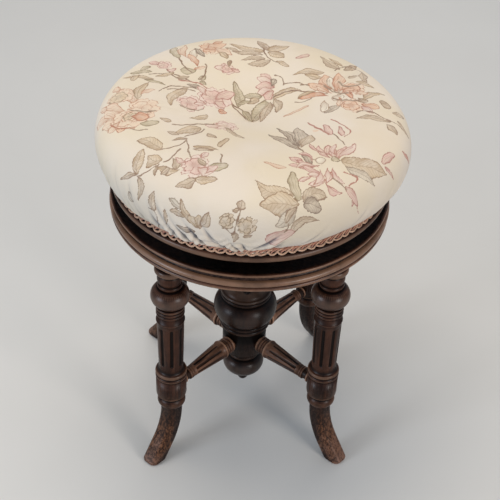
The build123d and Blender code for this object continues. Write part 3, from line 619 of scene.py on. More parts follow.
# Each motif: its kind and its points on the flat cloth in mm from the tuft, then width, tone and bend of a
# leaf, petal or bud, tone of a stem, size and tone of a hip, and size, tone and turn of a bloom.
sprays = """
stem -183 -33 -141 -53 -105 -55 taupe / petal -169 -20 -196 -9 16 palepeach 0
petal -153 -32 -183 -33 16 palepeach 0 / petal -151 -33 -161 -54 14 peach 0
petal -154 -24 -182 3 16 palepeach 0.1 / petal -140 -2 -158 41 18 palepeach 0
bloom -163 20 15 olivepeach 0 / petal -149 -17 -182 13 12 palepeach 0 / bloom -134 -13 19 palepeach 20
bloom -150 -29 20 palepeach 40 / bloom -148 -26 10 olivepeach 10 / petal -158 -30 -176 -44 10 palepeach 0.1
petal -146 -28 -125 -31 14 deeppeach 0 / bud -113 -45 -133 -42 10 olive 0 / leaf -140 9 -123 46 10 tan 0.1
leaf -122 70 -148 82 8 olive 0.1 / leaf -124 86 -136 76 9 olive -0.1 / leaf -118 53 -157 74 6 tan 0.05
leaf -131 54 -105 40 5 olive 0 / stem -124 65 -98 63 -69 47 brown / stem -105 81 -98 60 -81 53 brown
petal -108 84 -124 98 9 pink 0 / bloom -107 86 9 pink 10 / bud -87 70 -67 76 11 olive 0
leaf -67 55 -54 63 7 olive 0 / leaf -66 51 -57 47 6 olive 0 / stem -64 56 -56 69 -58 90 brown
bud -90 103 -98 145 9 olive 0 / stem -90 103 -83 84 -73 71 brown / petal -78 98 -80 145 9 palepeach 0.1
petal -68 98 -72 123 9 cream 0 / petal -66 85 -76 110 9 peach 0 / bloom -51 128 15 peach 10
petal -57 123 -29 142 15 peach 0 / petal -45 131 -26 109 12 palepeach 0 / leaf -55 106 -71 126 6 greybrown 0
petal -26 84 -47 82 9 palepink 0 / bloom -30 82 9 pink 20 / leaf -23 100 -28 88 4 brown 0
petal -26 84 -14 75 6 pink 0 / leaf 21 117 -23 142 10 tan 0.06 / leaf 18 112 -24 116 9 taupe -0.04
leaf 24 122 10 150 11 brown 0 / leaf 22 124 53 137 14 tan 0 / leaf 24 120 47 105 12 tan 0
leaf 20 105 -13 103 8 taupe 0 / leaf 25 101 -3 89 11 taupe 0.05 / leaf 33 96 48 87 8 tan 0
stem 16 129 25 105 35 92 brown / bud 76 116 58 105 7 pink 0 / leaf 113 78 94 114 11 taupe 0.1
leaf 115 89 103 113 7 tan 0 / leaf 117 79 141 107 8 brown 0 / leaf 140 82 144 49 9 taupe 0
stem 107 75 127 94 141 80 brown / leaf 91 70 53 71 10 tan -0.08 / leaf 88 59 66 67 8 tan 0
stem 39 53 60 50 81 38 brown / stem 60 46 80 47 95 34 brown / petal 95 25 73 52 14 peach 0.05
petal 92 23 74 31 9 cream 0 / petal 92 19 58 20 10 deeppeach -0.1 / petal 97 32 87 65 13 peach 0
petal 100 27 98 59 9 cream 0 / petal 102 27 112 71 12 peach 0 / petal 101 18 120 40 11 cream 0
petal 97 19 108 9 12 cream 0 / petal 112 31 120 11 8 deeppeach 0 / bloom 123 34 13 peach 15
petal 118 18 113 45 9 peach 0 / bloom 118 -4 13 peach 50 / petal 125 13 136 5 9 brown 0
petal 130 0 151 -7 11 peach 0 / petal 130 -4 142 -20 9 palepink 0 / leaf 152 6 167 5 14 brown 0
leaf 132 11 161 32 10 tan 0.1 / leaf 84 -17 104 -2 10 greybrown 0 / petal 89 11 82 -14 10 cream 0
stem 121 -18 142 -18 177 -34 brown / leaf 120 -32 162 -27 8 taupe 0.05 / leaf 165 -7 186 -5 9 taupe 0
leaf 154 -34 165 -52 9 taupe 0 / leaf 172 -23 192 -37 6 taupe -0.1 / leaf 25 30 60 38 11 tan 0.1
stem 25 31 47 37 74 31 brown / petal 28 51 14 75 11 pink 0 / petal 28 55 6 67 11 palepink 0
petal 28 49 6 53 13 pink 0 / petal 28 44 8 40 12 palepink 0 / petal 28 44 17 29 10 pink 0
leaf 31 63 23 52 6 greybrown 0 / stem 31 69 40 64 38 52 brown / leaf 13 33 -12 39 9 olive 0
leaf 8 30 -7 24 8 tan 0 / leaf 17 28 -3 1 15 olive 0.1 / leaf 22 25 11 -11 10 taupe 0
leaf 27 29 29 1 10 taupe 0.1 / leaf -15 17 -24 58 11 olive -0.05 / leaf -17 23 -2 26 6 olive 0.1
stem -32 25 -17 16 2 1 brown / stem -25 21 -13 3 -7 -2 brown / leaf -10 11 -1 -2 9 olive 0
leaf -76 39 -102 -6 12 tan -0.12 / stem -112 24 -93 39 -57 32 brown / stem -88 52 -66 47 -45 33 pinkline
bloom -76 4 15 pink 0 / bloom -48 24 19 pink 25 / petal -45 21 -25 41 13 pink 0
petal -47 17 -35 10 12 pink 0 / bloom -38 0 8 deeppeach 10 / bloom -36 -36 13 palepink 15
petal -39 -37 -56 -42 9 palepink 0 / leaf -56 -17 -76 -28 9 tan 0.15 / leaf -34 -41 -9 -65 6 taupe -0.08
stem -98 -45 -74 -44 -48 -34 brown / leaf -64 -49 -94 -65 14 tan 0 / leaf -87 -69 -100 -59 6 taupe 0
leaf -78 -75 -98 -79 4 taupe 0 / leaf -105 -94 -138 -75 14 tan -0.1 / stem -106 -94 -91 -91 -80 -77 taupe
stem -80 -75 -78 -93 -71 -116 taupe / leaf -74 -89 -44 -93 6 tan -0.08 / leaf -73 -95 -51 -101 5 taupe 0
bud -42 -90 -33 -68 6 tan 0 / stem -106 -117 -95 -109 -86 -95 taupe / leaf -109 -115 -125 -102 16 tan 0.1
leaf -111 -120 -116 -133 4 taupe 0 / stem -137 -124 -123 -123 -111 -119 taupe
leaf -136 -122 -129 -90 12 tan 0.1 / leaf -138 -122 -165 -117 6 taupe 0
leaf -135 -125 -143 -150 9 taupe 0.1 / leaf -111 -123 -87 -127 9 tan -0.15
leaf -91 -127 -93 -111 8 taupe 0 / bloom -71 -126 16 pink 0 / petal -69 -129 -51 -138 12 palepink 0
bud -55 -130 -31 -127 13 olive 0 / leaf -58 -125 -66 -116 7 taupe 0 / stem -40 -120 -40 -112 -42 -105 taupe
leaf -67 -143 -94 -151 9 taupe 0.15 / leaf -69 -143 -45 -152 10 tan 0
petal -60 -137 -44 -128 8 palepink 0.1 / leaf -127 -170 -121 -149 9 taupe 0.05
stem -135 -165 -129 -178 -150 -199 greyline / leaf -121 -190 -110 -170 6 taupe 0
leaf -88 -177 -103 -162 6 palegrey 0 / leaf -87 -185 -105 -176 7 taupe 0 / leaf -74 -203 -84 -165 8 tan 0.1
petal -74 -205 -82 -183 10 tan 0 / petal -74 -205 -68 -187 11 tan 0 / leaf -72 -202 -57 -184 9 taupe -0.15
leaf -80 -207 -106 -195 6 greybrown 0 / bloom -38 -198 9 tanbloom 20 / bloom -15 -204 11 tanbloom 0
leaf -23 -187 -19 -176 9 taupe 0 / leaf -24 -188 -32 -187 4 taupe 0 / leaf -28 -211 -34 -225 8 taupe 0
leaf -21 -217 -7 -217 4 taupe 0 / stem -40 -207 -31 -213 -22 -188 taupe / leaf 36 -219 70 -188 9 taupe 0.15
bud 10 -226 42 -210 18 pink 0 / leaf 37 -168 -6 -156 17 tan 0.12 / leaf 43 -177 1 -184 24 tan 0
bud 43 -173 36 -137 11 olive 0 / leaf 47 -174 77 -163 17 taupe 0.1 / leaf 48 -177 72 -178 16 greybrown 0
leaf 42 -181 18 -204 14 palegrey 0.1 / leaf 41 -180 29 -198 7 taupe 0 / stem 34 -200 33 -208 31 -211 brown
petal 52 -92 40 -50 14 greybrown 0 / petal 52 -92 54 -45 15 greybrown 0 / petal 52 -92 64 -64 13 taupe 0
leaf 52 -98 15 -54 8 greybrown 0 / leaf 46 -85 27 -38 6 greybrown 0 / stem 48 -88 55 -108 66 -115 brown
petal 56 -129 38 -108 7 pink 0 / petal 56 -133 34 -123 6 pink 0 / petal 82 -111 70 -90 8 pink 0.1
petal 84 -110 80 -86 8 pink 0 / petal 85 -114 90 -92 8 palepink 0 / petal 88 -114 103 -91 8 pink 0
petal 91 -113 115 -84 8 palepink 0 / petal 73 -137 47 -126 8 pink 0 / petal 75 -141 53 -136 7 palepink 0
petal 75 -145 56 -155 9 palepink 0 / petal 72 -149 93 -157 7 pink -0.2 / petal 78 -134 84 -142 8 peach 0
leaf 61 -122 51 -106 7 greybrown 0 / hip 70 -115 9 cream / leaf 93 -115 152 -114 24 tan -0.05
leaf 97 -122 136 -137 10 palegrey 0 / leaf 82 -114 93 -113 8 olive 0 / bud 90 -66 80 -44 7 pink 0
bud 102 -68 97 -47 5 pink 0 / stem 86 -66 74 -50 62 -34 pinkline / stem 104 -70 108 -56 92 -34 pinkline
petal 74 -122 44 -115 5 pink 0.2 / petal 70 -127 42 -131 5 palepink -0.2
petal 70 -130 58 -152 7 palepink 0.2 / petal 78 -128 74 -150 7 palepink 0.15
petal 84 -128 98 -146 6 palepink -0.2 / petal 62 -118 44 -104 5 pink -0.2 / petal 76 -100 62 -86 5 pink 0.2
petal 90 -106 88 -84 6 palepink 0.1 / stem 96 -130 112 -136 104 -146 pinkline
petal 104 -150 112 -168 6 pink 0.1 / stem 100 -152 118 -166 126 -172 pinkline
petal 58 -140 44 -150 5 palepink 0 / stem 100 -87 97 -76 93 -64 brown / bud 98 -149 119 -165 9 pink 0
stem 84 -142 94 -147 99 -152 brown / bud 30 -130 5 -122 5 palepeach 0 / bud 161 -82 142 -104 8 pink 0
leaf 146 -105 167 -113 4 pink 0 / leaf 173 -69 198 -74 5 pinkline 0 / bud 67 3 37 -10 4 palepeach 0
bloom 72 -56 5 blot 0 / leaf -230 -89 -200 -132 6 palegrey 0 / leaf -158 -150 -160 -135 6 palegrey 0
petal 96 26 80 42 6 palepeach 0.2 / petal 106 28 106 50 6 palepeach -0.2 / petal 108 24 128 30 6 peach 0.2
petal 104 14 100 -6 6 palepeach 0.2 / stem 90 40 100 26 116 22 greyline / stem 108 50 118 38 132 44 greyline
stem 98 14 112 6 130 10 greyline / petal 126 22 142 26 7 palepeach 0.1 / leaf 128 50 150 44 8 tan 0.1
leaf 76 30 56 24 5 tan -0.15 / stem 74 18 66 14 52 16 greyline / leaf 120 60 136 66 7 taupe 0.1
leaf -96 66 -116 60 7 tan 0.1 / petal -92 76 -104 70 6 palepink 0.1 / leaf -78 62 -94 58 5 taupe 0.1
petal -70 78 -58 84 6 palepeach 0 / leaf -62 40 -78 46 6 greybrown 0.1 / stem -70 30 -86 34 -104 30 greyline
petal -58 12 -70 6 7 palepink 0.1 / petal -56 28 -66 40 7 palepink -0.1 / stem -60 -4 -72 -8 -88 -4 greyline
leaf -40 116 -30 100 7 tan 0.1 / petal -44 140 -36 152 7 peach 0 / leaf -12 120 -30 128 6 taupe 0
petal -134 20 -118 28 8 palepeach 0.1 / petal -176 0 -186 16 9 palepeach 0
stem -170 -30 -158 -46 -140 -50 peach / petal -160 34 -168 50 9 palepeach 0 / leaf -146 52 -136 66 9 tan 0.1
stem -146 -12 -132 -20 -116 -16 greyline / leaf -98 -40 -112 -34 6 tan 0.1 / leaf -58 -60 -46 -72 6 taupe 0
stem -60 -50 -68 -62 -80 -72 greyline / petal -80 -118 -92 -110 7 palepink 0.1
petal -62 -114 -56 -104 7 palepink 0 / leaf -98 -124 -108 -132 6 taupe 0.1
"""

# A distance in mm that stands for the midrib or rim of a motif that a point has nothing to do with.
FAR_OFF = 9.0


def bowed(at, way, length, bend, curl):
    """Places along and across a motif's own bowed middle line, whose tip hooks by curl."""
    along = (at @ way) / length
    share = np.clip(along, 0, 1)
    middle = length * (4 * bend * share * (1 - share) + curl * share**3)
    return along, at @ np.array([-way[1], way[0]]) - middle


def rim_distance(along, across, length, half_width):
    """How far in mm points lie inside an outline of the given half width, a function of the share of the
    length: half width less distance across, over the slope's own length, and beyond an end minus the
    distance to that end."""
    share = np.clip(along, 0, 1)
    half = half_width(share)
    step = 0.02
    rise = half_width(np.minimum(share + step, 1)) - half_width(np.maximum(share - step, 0))
    slope = rise / (2 * step * length)
    beyond = np.hypot((along - share) * length, across)
    return np.where(along == share, (half - np.abs(across)) / np.hypot(1, slope), -beyond)


def print_leaf(at, way, length, wide, bend):
    """A leaf: half width is a sine of the share of its length, scalloped between side veins that lean
    forward, one half in shade. Gives its rim, midrib, vein phase, vein strength and shade."""
    along, across = bowed(at, way, length, bend, 0.10 * np.sin(7 * length + wide))
    step = 2.6 + 0.09 * wide
    inside = rim_distance(along, across, length, lambda s: wide / 2 * np.sin(np.pi * s**0.85) ** 0.9
                          * (0.95 + 0.09 * np.abs(np.sin(np.pi * s * length / step))))
    share = np.clip(along, 0, 1)
    phase = TURN * (along * length - 0.85 * np.abs(across) - 0.02 * across**2) / step
    strength = 0.55 * np.clip(wide / 9 - 0.35, 0, 1) * (1 - 0.4 * share)
    shade = 0.55 + 0.45 * np.tanh(across / (0.16 * wide)) - 0.35 * share
    return inside, across + 0.25 * (share > 0.93), phase, strength, shade


def print_petal(at, way, length, wide, bend):
    """A petal: its half width swells towards a tip, round where it is broad and pointed where it is slim,
    with fine veins spread like a fan from the base, deep there and pale at the rim. Gives what print_leaf
    gives, with the line of a fold beside the middle for a midrib."""
    along, across = bowed(at, way, length, bend, 0.08 * np.sin(5 * length + wide))
    point = 0.55 + 0.7 * np.clip(1 - wide / length, 0, 1)
    inside = rim_distance(along, across, length, lambda s: wide / 2 * np.sin(np.pi * s**1.3) ** point
                          * (1 + 0.09 * np.sin(11 * s + wide)))
    share = np.clip(along, 0, 1)
    phase = TURN * 2.2 * across / (wide * (0.25 + share)) * 2
    fold = np.where(share < 0.8, across - 0.22 * wide * np.sin(np.pi * share), FAR_OFF)
    return inside, fold, phase, 0.8 * (1 - share) ** 0.6, 1.3 * (1 - share) ** 1.3 - 0.10


def print_bud(at, way, length, wide, bend):
    """A bud or bell: a pointed oval with stripes from end to end. Gives what print_leaf gives."""
    along, across = bowed(at, way, length, bend, 0.0)
    inside = rim_distance(along, across, length, lambda s: wide / 2 * np.sin(np.pi * s**0.75) ** 0.6)
    phase = TURN * across / np.maximum(0.27 * wide * np.sin(np.pi * np.clip(along, 0.1, 0.9)), 1.2)
    return inside, np.full(len(at), FAR_OFF), phase, np.full(len(at), 0.5), 0.4 + 1.2 * across / wide


def print_bloom(at, reach, turn, lobes):
    """An open flower: its rim is reach times a scalloped cosine of the angle, ruffled a little, parted
    between petals, veined from a dark eye with a ring of stamens. Gives what print_leaf gives."""
    away, around = np.hypot(at[:, 0], at[:, 1]), np.arctan2(at[:, 1], at[:, 0]) - np.radians(turn)
    around = around + 0.25 * np.sin(around * 2 + turn)
    ruffle = 0.04 * np.sin(3.3 * lobes * around)
    rim = reach * (0.70 + 0.30 * np.abs(np.cos(lobes / 2 * around)) ** 0.6 + ruffle)
    parting = np.where(away > 0.2 * reach, np.sin(lobes / 2 * around - np.pi / 2) * away * 0.5, FAR_OFF)
    eye = np.clip(1.3 - away / (0.16 * reach), 0, 1)
    stamens = np.clip(1.4 - np.abs(away - 0.27 * reach) / 0.9, 0, 1) * np.cos(6.5 * around) ** 2
    shade = (1 - np.clip(away / rim, 0, 1)) ** 1.2 + 1.2 * eye + 1.4 * stamens
    return rim - away, parting, 4 * lobes * around, 0.5 * np.clip(1.1 - away / rim, 0, 1), shade


def print_hip(at, reach):
    """A hip: a round berry with a light spot, its rim reach less the distance from its middle. Gives what
    print_leaf gives."""
    away, light = np.hypot(at[:, 0], at[:, 1]), np.hypot(at[:, 0] + 0.35 * reach, at[:, 1] - 0.3 * reach)
    none = np.full(len(at), FAR_OFF)
    return reach - away, none, none, 0 * none, np.clip(light / reach - 0.25, 0, 1)


def print_stem(at, mid, end):
    """A stem 1.1 mm wide: the nearest of 200 places along a curve that starts here and bends through mid.
    Gives what print_leaf gives."""
    t = np.linspace(0, 1, 200)[:, None]
    path = 2 * t * (1 - t) * (2 * mid - 0.5 * end) + t * t * end
    away = np.min(np.hypot(at[:, :1] - path[:, 0], at[:, 1:] - path[:, 1]), 1)
    none = np.full(len(at), FAR_OFF)
    return 0.55 - away, none, none, 0 * none, 0 * none + 0.55


# The reach in mm under which a flower is drawn as one plain whorl.
small_bloom = 9


def drawn(motif, spin):
    """The parts of one line of the sprays, turned by spin: where each part starts, its tones and the
    function that draws it. A bloom lies on a larger, paler ruffle."""
    kind, places = motif[0], {"stem": (1, 3, 5), "bloom": (1,), "hip": (1,)}
    start, *others = [spin @ np.array(motif[k : k + 2], float) for k in places.get(kind, (1, 3))]
    if kind == "stem":
        return [(start, motif[7], lambda at: print_stem(at, others[0] - start, others[1] - start))]
    if kind == "hip":
        return [(start, motif[4], lambda at: print_hip(at, 0.62 * float(motif[3])))]
    if kind == "bloom":
        reach, tone = float(motif[3]), motif[4]
        turn = float(motif[5]) + np.degrees(np.arctan2(spin[1, 0], spin[0, 0]))
        if reach < small_bloom:
            return [(start, tone, lambda at: print_bloom(at, reach * 0.6, turn, 3))]
        pale = "palepink" if "pink" in tone else "palepeach" if "peach" in tone else tone
        under = start + 0.12 * reach * spin[0]
        return [(under, pale, lambda at: print_bloom(at, 1.12 * reach, turn + 31, 6)),
                (start, tone, lambda at: print_bloom(at, 0.78 * reach, turn, 5))]
    way = others[0] - start
    length = np.hypot(*way)
    draw = {"leaf": print_leaf, "petal": print_petal, "bud": print_bud}[kind]
    wide = float(motif[5]) * 1.12
    return [(start, motif[6], lambda at: draw(at, way / length, length, wide, float(motif[7])))]


# The print's turns about the tuft: the front itself, then its copies, with the bearings that they fill.
borders = ((0, -999, 999), (105, -18, 40), (180, 40, 140), (-105, 140, 198))
# How far in mm a motif can reach from its start, and how far its outline's ink reaches out of its rim.
motif_reach, outline_room = 60, 0.8
# Where the front's own print ends, in mm from the tuft at the sides, how much less that is at the back, and
# the room left before a copy begins.
print_end, less_behind, room_between = 228, 43, 6


def spread_print(at):
    """What the cotton's finish reads, at points of the flat cloth in mm from the tuft: the dye and ink
    colours, the distance to the rim and midrib of the motif on top, its vein phase and vein strength.
    The cloth is wavered by a sum of sines so that no outline is quite true. Where the sprays end, at the
    back, the front's border comes again, turned about the tuft."""
    x, y = at[:, 0], at[:, 1]
    slow = 1.4 * np.sin(0.17 * y + 0.07 * x), 1.4 * np.sin(0.16 * x - 0.08 * y)
    mid = 0.45 * np.sin(0.43 * y - 0.31 * x + 1), 0.45 * np.sin(0.45 * x + 0.27 * y + 2)
    fast = 0.12 * np.sin(1.1 * y + 0.8 * x), 0.12 * np.sin(1.0 * x - 0.8 * y)
    at = at + np.stack([a + b + c for a, b, c in zip(slow, mid, fast)], -1)
    count = len(at)
    dye, ink = np.tile(linear(ground), (count, 1)), np.tile(linear(tones["taupe"][1]), (count, 1))
    rim, rib = np.full(count, -FAR_OFF), np.full(count, FAR_OFF)
    phase, strength = np.zeros(count), np.zeros(count)
    motifs = [m.split() for m in sprays.replace("\n", " / ").split(" / ") if m.strip()]
    for turn, low, high in borders:
        cos, sin = np.cos(np.radians(turn)), np.sin(np.radians(turn))
        for motif in motifs:
            for start, tone, draw in drawn(motif, np.array([[cos, -sin], [sin, cos]])):
                edge = print_end - less_behind * start[1] / np.hypot(*start)
                bearing = (np.degrees(np.arctan2(start[1], start[0])) + 90) % 360 - 90
                if turn and not (low < bearing < high and np.hypot(*start) > edge + room_between):
                    continue
                near = np.flatnonzero(np.max(np.abs(at - start), 1) < motif_reach)
                inside, parting, vein, fine, shade = draw(at[near] - start)
                over = inside > -outline_room
                on = near[over]
                fill, line = linear(tones[tone][0]), linear(tones[tone][1])
                share = np.clip(shade[over], 0, 1)[:, None]
                dye[on] = fill + (0.5 * share) * (line - fill)
                ink[on] = line
                rim[near] = np.where(over, inside, rim[near])
                rib[on], phase[on], strength[on] = parting[over], vein[over], fine[over]
    return {"dye": dye, "ink": ink, "rim": rim, "rib": rib, "vein": phase, "vein_strength": strength}


# ---- cushion ----

# The board's top, the cover's foot and its radius there; then places of the outline by radius and height.
board_top, cover_foot, wall = 0.4051, 0.3959, 0.16325
side_centre, side_radius, side_top = np.array([0.1471, 0.4436]), 0.0409, np.radians(62)
crown, shoulder, dimple = np.array([0.112, 0.4881]), np.array([0.052, 0.4801]), np.array([0.0, 0.4671])
# Where the cover is turned under and closed over the board: its radius, and its height over the board.
closed_radius, over_board = 0.1622, 0.0002


def meridian(samples):
    """The cover's outline from the tuft to its foot, evenly spaced along its length: three smooth cubic
    runs from the dimple over the crown to the side's arc, the arc, and the straight foot."""
    def run(p, p_dir, q, q_dir):
        t = np.linspace(0, 1, 60)[:, None]
        return ((2 * t**3 - 3 * t**2 + 1) * p + (t**3 - 2 * t**2 + t) * p_dir
                + (3 * t**2 - 2 * t**3) * q + (t**3 - t**2) * q_dir)

    turn = np.array([np.sin(side_top), -np.cos(side_top)])
    edge = side_centre + side_radius * np.array([np.cos(side_top), np.sin(side_top)])
    side_foot = -np.arccos((wall - side_centre[0]) / side_radius)
    arc = np.linspace(side_top, side_foot, 120)[:, None]
    side = side_centre + side_radius * np.concatenate([np.cos(arc), np.sin(arc)], 1)
    line = np.concatenate([
        run(dimple, np.array([0.052, 0.0]), shoulder, np.array([0.056, 0.0125])),
        run(shoulder, np.array([0.062, 0.0138]), crown, np.array([0.058, 0.0])),
        run(crown, np.array([0.055, 0.0]), edge, 0.058 * turn),
        side,
        np.array([[wall, cover_foot]]),
    ])
    line = line[np.r_[True, np.linalg.norm(np.diff(line, axis=0), axis=1) > 1e-9]]
    far = run_along(line)
    even = np.linspace(0, far[-1], samples)
    return np.stack([np.interp(even, far, line[:, 0]), np.interp(even, far, line[:, 1])], -1), far[-1]


rows = 270
outline, cover_length = meridian(rows)

# The tucks that the twine pulls in round the tuft: bearing in degrees, depth and reach in mm.
tucks = (
    (12, 1.5, 22), (58, 0.8, 13), (97, 1.1, 12), (141, 0.7, 13),
    (176, 1.1, 17), (222, 0.7, 13), (262, 0.8, 11), (318, 0.8, 15),
)
# How deep and how wide in mm the twine pulls the cover in.
tuft_pull, tuft_width = 3.4, 6.5

# The gathers at the foot: bearing, lean in degrees over 30 mm of height, then width, depth and reach in mm.
# Most are where the cloth was pulled last, at the front left.
gathers = (
    (206, 3, 5.0, 2.0, 58), (213, 4, 4.2, 2.8, 66), (218, 4, 3.4, 2.4, 52), (223, 5, 3.8, 3.4, 72),
    (228, 5, 3.0, 2.8, 54), (232, 5, 3.6, 4.0, 74), (236, 6, 2.9, 3.2, 54), (240, 5, 3.6, 4.2, 66),
    (243.5, 6, 2.8, 4.0, 52), (247, 6, 3.4, 5.2, 70), (250, 4, 2.7, 4.4, 50), (252.5, 7, 3.0, 5.6, 62),
    (255.5, 5, 2.8, 5.0, 50), (258, 7, 3.2, 6.0, 64), (260.5, 5, 2.7, 5.0, 48), (263, 6, 3.0, 5.8, 58),
    (265.5, 4, 2.7, 4.6, 46), (268, 3, 3.0, 3.6, 46), (261, -9, 4.0, 6.4, 60), (274, -3, 3.6, 2.6, 50),
    (279, -8, 3.4, 2.8, 56), (287, -4, 4.2, 2.0, 52), (299, -6, 4.6, 3.0, 62), (307, -9, 4.0, 2.8, 62),
    (314, -10, 4.4, 3.0, 64), (324, -8, 5.0, 1.8, 54), (336, -6, 4.6, 1.6, 50), (349, -5, 4.8, 2.0, 56),
    (3, 4, 4.6, 1.8, 52), (18, -5, 5.0, 2.4, 62), (31, 6, 4.4, 1.8, 50), (45, -6, 4.8, 2.6, 62),
    (59, 5, 4.4, 1.9, 54), (72, -5, 5.0, 2.7, 64), (86, 6, 4.2, 2.0, 52), (99, 7, 4.6, 2.6, 60),
    (112, -6, 4.4, 1.8, 50), (126, 6, 5.0, 2.6, 64), (141, -5, 4.4, 1.9, 52), (154, 7, 4.6, 2.4, 58),
    (168, 5, 4.8, 1.9, 52), (183, 6, 4.4, 1.8, 52), (194, 5, 4.8, 2.2, 58),
)
# The gathers' radius and the height of their lean in mm, and the bearing of the worst crumples.
gather_radius, lean_height, crumpled_bearing = 170, 30, 250

# Where the stuffing has shifted: bearing in degrees, mm outwards, and width in degrees.
shifts = ((135, 2.4, 20), (40, -2.2, 18), (195, -1.8, 16), (340, 2.4, 14))


def bearing_from(angle, degrees):
    """The angle from a bearing, between half a turn back and half a turn on."""
    return (angle - np.radians(degrees) + np.pi) % TURN - np.pi


def lopsided(angle, far):
    """How much farther out the cover stands than its outline: bell curves of the bearing, where the
    stuffing has shifted, that fade out over the crown and at the foot."""
    swell = sum(much * line_at(bearing_from(angle, at), np.radians(wide)) for at, much, wide in shifts)
    return MM * swell * eased((far - 0.10) / 0.08) * eased((cover_length - far) / 0.04)


def drawn_in(angle, far):
    """How far the cloth lies inside its outline: a dimple pulled in by the twine with grooves that
    radiate from it, and at the foot a sharp groove and two puffs for each gather, crumpled across where
    they crowd. Gives the depth, and the grooves alone as a share of 3 mm."""
    r = far / MM
    depth = tuft_pull * line_at(r, tuft_width)
    creased = np.zeros_like(depth)
    for at, deep, reach in tucks:
        away = bearing_from(angle, at) * (r + 1.0)
        groove = deep * line_at(away, 1.5 + 0.06 * r) * line_at(r, reach) * eased(r / 5) * (np.abs(away) < 12)
        depth, creased = depth + groove, creased + 0.1 * groove
    foot = (cover_length - far) / MM
    for at, lean, wide, deep, reach in gathers:
        away = bearing_from(angle, at - lean * foot / lean_height) * gather_radius / wide
        puffs = 1.9
        fold = (1.3 * np.exp(-np.abs(away) / 0.55)
                - 0.5 * line_at(away - puffs, 0.9) - 0.4 * line_at(away + puffs, 0.9))
        uneven = 0.75 + 0.35 * np.sin(foot / 6.3 + 2.1 * at)
        strength = deep * uneven * eased(1.25 - foot / reach) * eased((foot - 6.5) / 3.5)
        depth = depth + strength * fold
        creased = creased + strength * np.exp(-(np.abs(away) / 0.75) ** 1.5)
    crumple = line_at(bearing_from(angle, crumpled_bearing), np.radians(13)) * line_at(foot - 33, 9)
    depth = depth + 1.1 * crumple * np.sin(foot / 1.7 + 2.5 * np.sin(34 * angle) + 1.5 * np.sin(13 * angle))
    return MM * depth, np.clip(creased / 3.0, 0, 1)


def stuffed_cover(columns=180, rows=60, frames=24, most=0.006):
    """The cover blown out by its stuffing: a coarse cover, cut a little fuller than its outline at the
    foot and the tuft, is tacked there and swells by cloth simulation with pressure. It starts with slight
    seeded waves at the foot. Gives the movement of its points, at most 6 mm, as a grid of rows and bearings."""
    line, length = meridian(rows)
    angle, far = bearings(columns), np.linspace(0, length, rows)[1:, None]
    start = turned(line[1:, 0][:, None] + lopsided(angle, far), angle, line[1:, 1][:, None])
    waves = np.tile(np.random.default_rng(5).normal(size=columns), 3)
    waves = np.convolve(waves, line_at(np.arange(-8, 9), 2.0) / 5.0, "same")[columns : 2 * columns]
    foot_height, wave_height = 0.06, 0.005
    at_foot = np.clip((far - (length - foot_height)) / foot_height, 0, 1) ** 1.5
    waved = start + (wave_height * at_foot * waves)[..., None] * turned(1.0, angle, 0.0)
    fullness = 0.22 * (0.35 + 0.65 * line_at(bearing_from(angle, 245), 1.0))
    wider = 1 + fullness * at_foot + 0.1 * line_at(far, 0.03)
    cut = start * np.stack([wider, wider, np.ones_like(wider)], -1)
    top = [(0, 0, line[0, 1])]
    count, rings = (rows - 1) * columns, rows - 1
    faces = lattice(rings, columns)[:, ::-1].tolist() + [(j, (j + 1) % columns, count) for j in range(columns)]
    mesh = mesh_of("cover_in_work", np.r_[waved.reshape(-1, 3), top].tolist(), faces)
    work = placed("cover_in_work", mesh)
    work.shape_key_add(name="sewn")
    flat_cut = work.shape_key_add(name="cut")
    flat_cut.data.foreach_set("co", np.r_[cut.reshape(-1, 3), top].astype(np.float32).ravel())
    tacked = work.vertex_groups.new(name="tacked")
    tacked.add([*range(columns), *range((rings - 2) * columns, count + 1)], 1.0, "REPLACE")
    cloth = work.modifiers.new("cloth", "CLOTH")
    cloth.point_cache.frame_start, cloth.point_cache.frame_end = 1, frames
    stuff = cloth.settings
    stuff.quality, stuff.mass, stuff.air_damping = 6, 0.25, 2
    stuff.use_pressure, stuff.uniform_pressure_force = True, 4
    stuff.tension_stiffness, stuff.compression_stiffness, stuff.shear_stiffness = 40, 40, 20
    stuff.bending_stiffness, stuff.bending_damping = 0.005, 0.5
    stuff.vertex_group_mass, stuff.pin_stiffness, stuff.rest_shape_key = "tacked", 50, flat_cut
    stuff.effector_weights.gravity = 0
    for frame_number in range(1, frames + 1):
        bpy.context.scene.frame_set(frame_number)
    swollen = work.evaluated_get(bpy.context.evaluated_depsgraph_get()).to_mesh()
    moved = np.empty(len(swollen.vertices) * 3, np.float32)
    swollen.vertices.foreach_get("co", moved)
    bpy.context.scene.frame_set(1)
    bpy.data.objects.remove(work)
    bpy.data.meshes.remove(mesh)
    shift = moved.reshape(-1, 3)[:-1].reshape(rings, columns, 3) - start
    size = np.maximum(np.linalg.norm(shift, axis=-1, keepdims=True), 1e-9)
    return shift * np.minimum(1, most / size)


def between(grid, far, angle):
    """A grid of rows and bearings read between its points, from nought at the tuft."""
    grid = np.r_[np.zeros_like(grid[:1]), grid]
    row = np.clip(far / cover_length * (len(grid) - 1), 0, len(grid) - 1.001)
    column = angle / TURN * grid.shape[1]
    i, j = row.astype(int), column.astype(int) % grid.shape[1]
    k = (j + 1) % grid.shape[1]
    up, on = (row - i)[..., None], (column - np.floor(column))[..., None]
    below, above = ((1 - on) * grid[ring, j] + on * grid[ring, k] for ring in (i, i + 1))
    return (1 - up) * below + up * above


def graft(inner, outer, count):
    """Faces between a ring of count points and one of twice as many."""
    j = np.arange(count)
    near, far, next_near = inner + j, outer + 2 * j, inner + (j + 1) % count
    mid, last = outer + 2 * j + 1, outer + (2 * j + 2) % (2 * count)
    corners_of = (near, far, mid), (near, mid, next_near), (next_near, mid, last)
    return np.concatenate([np.stack(corner, -1) for corner in corners_of])


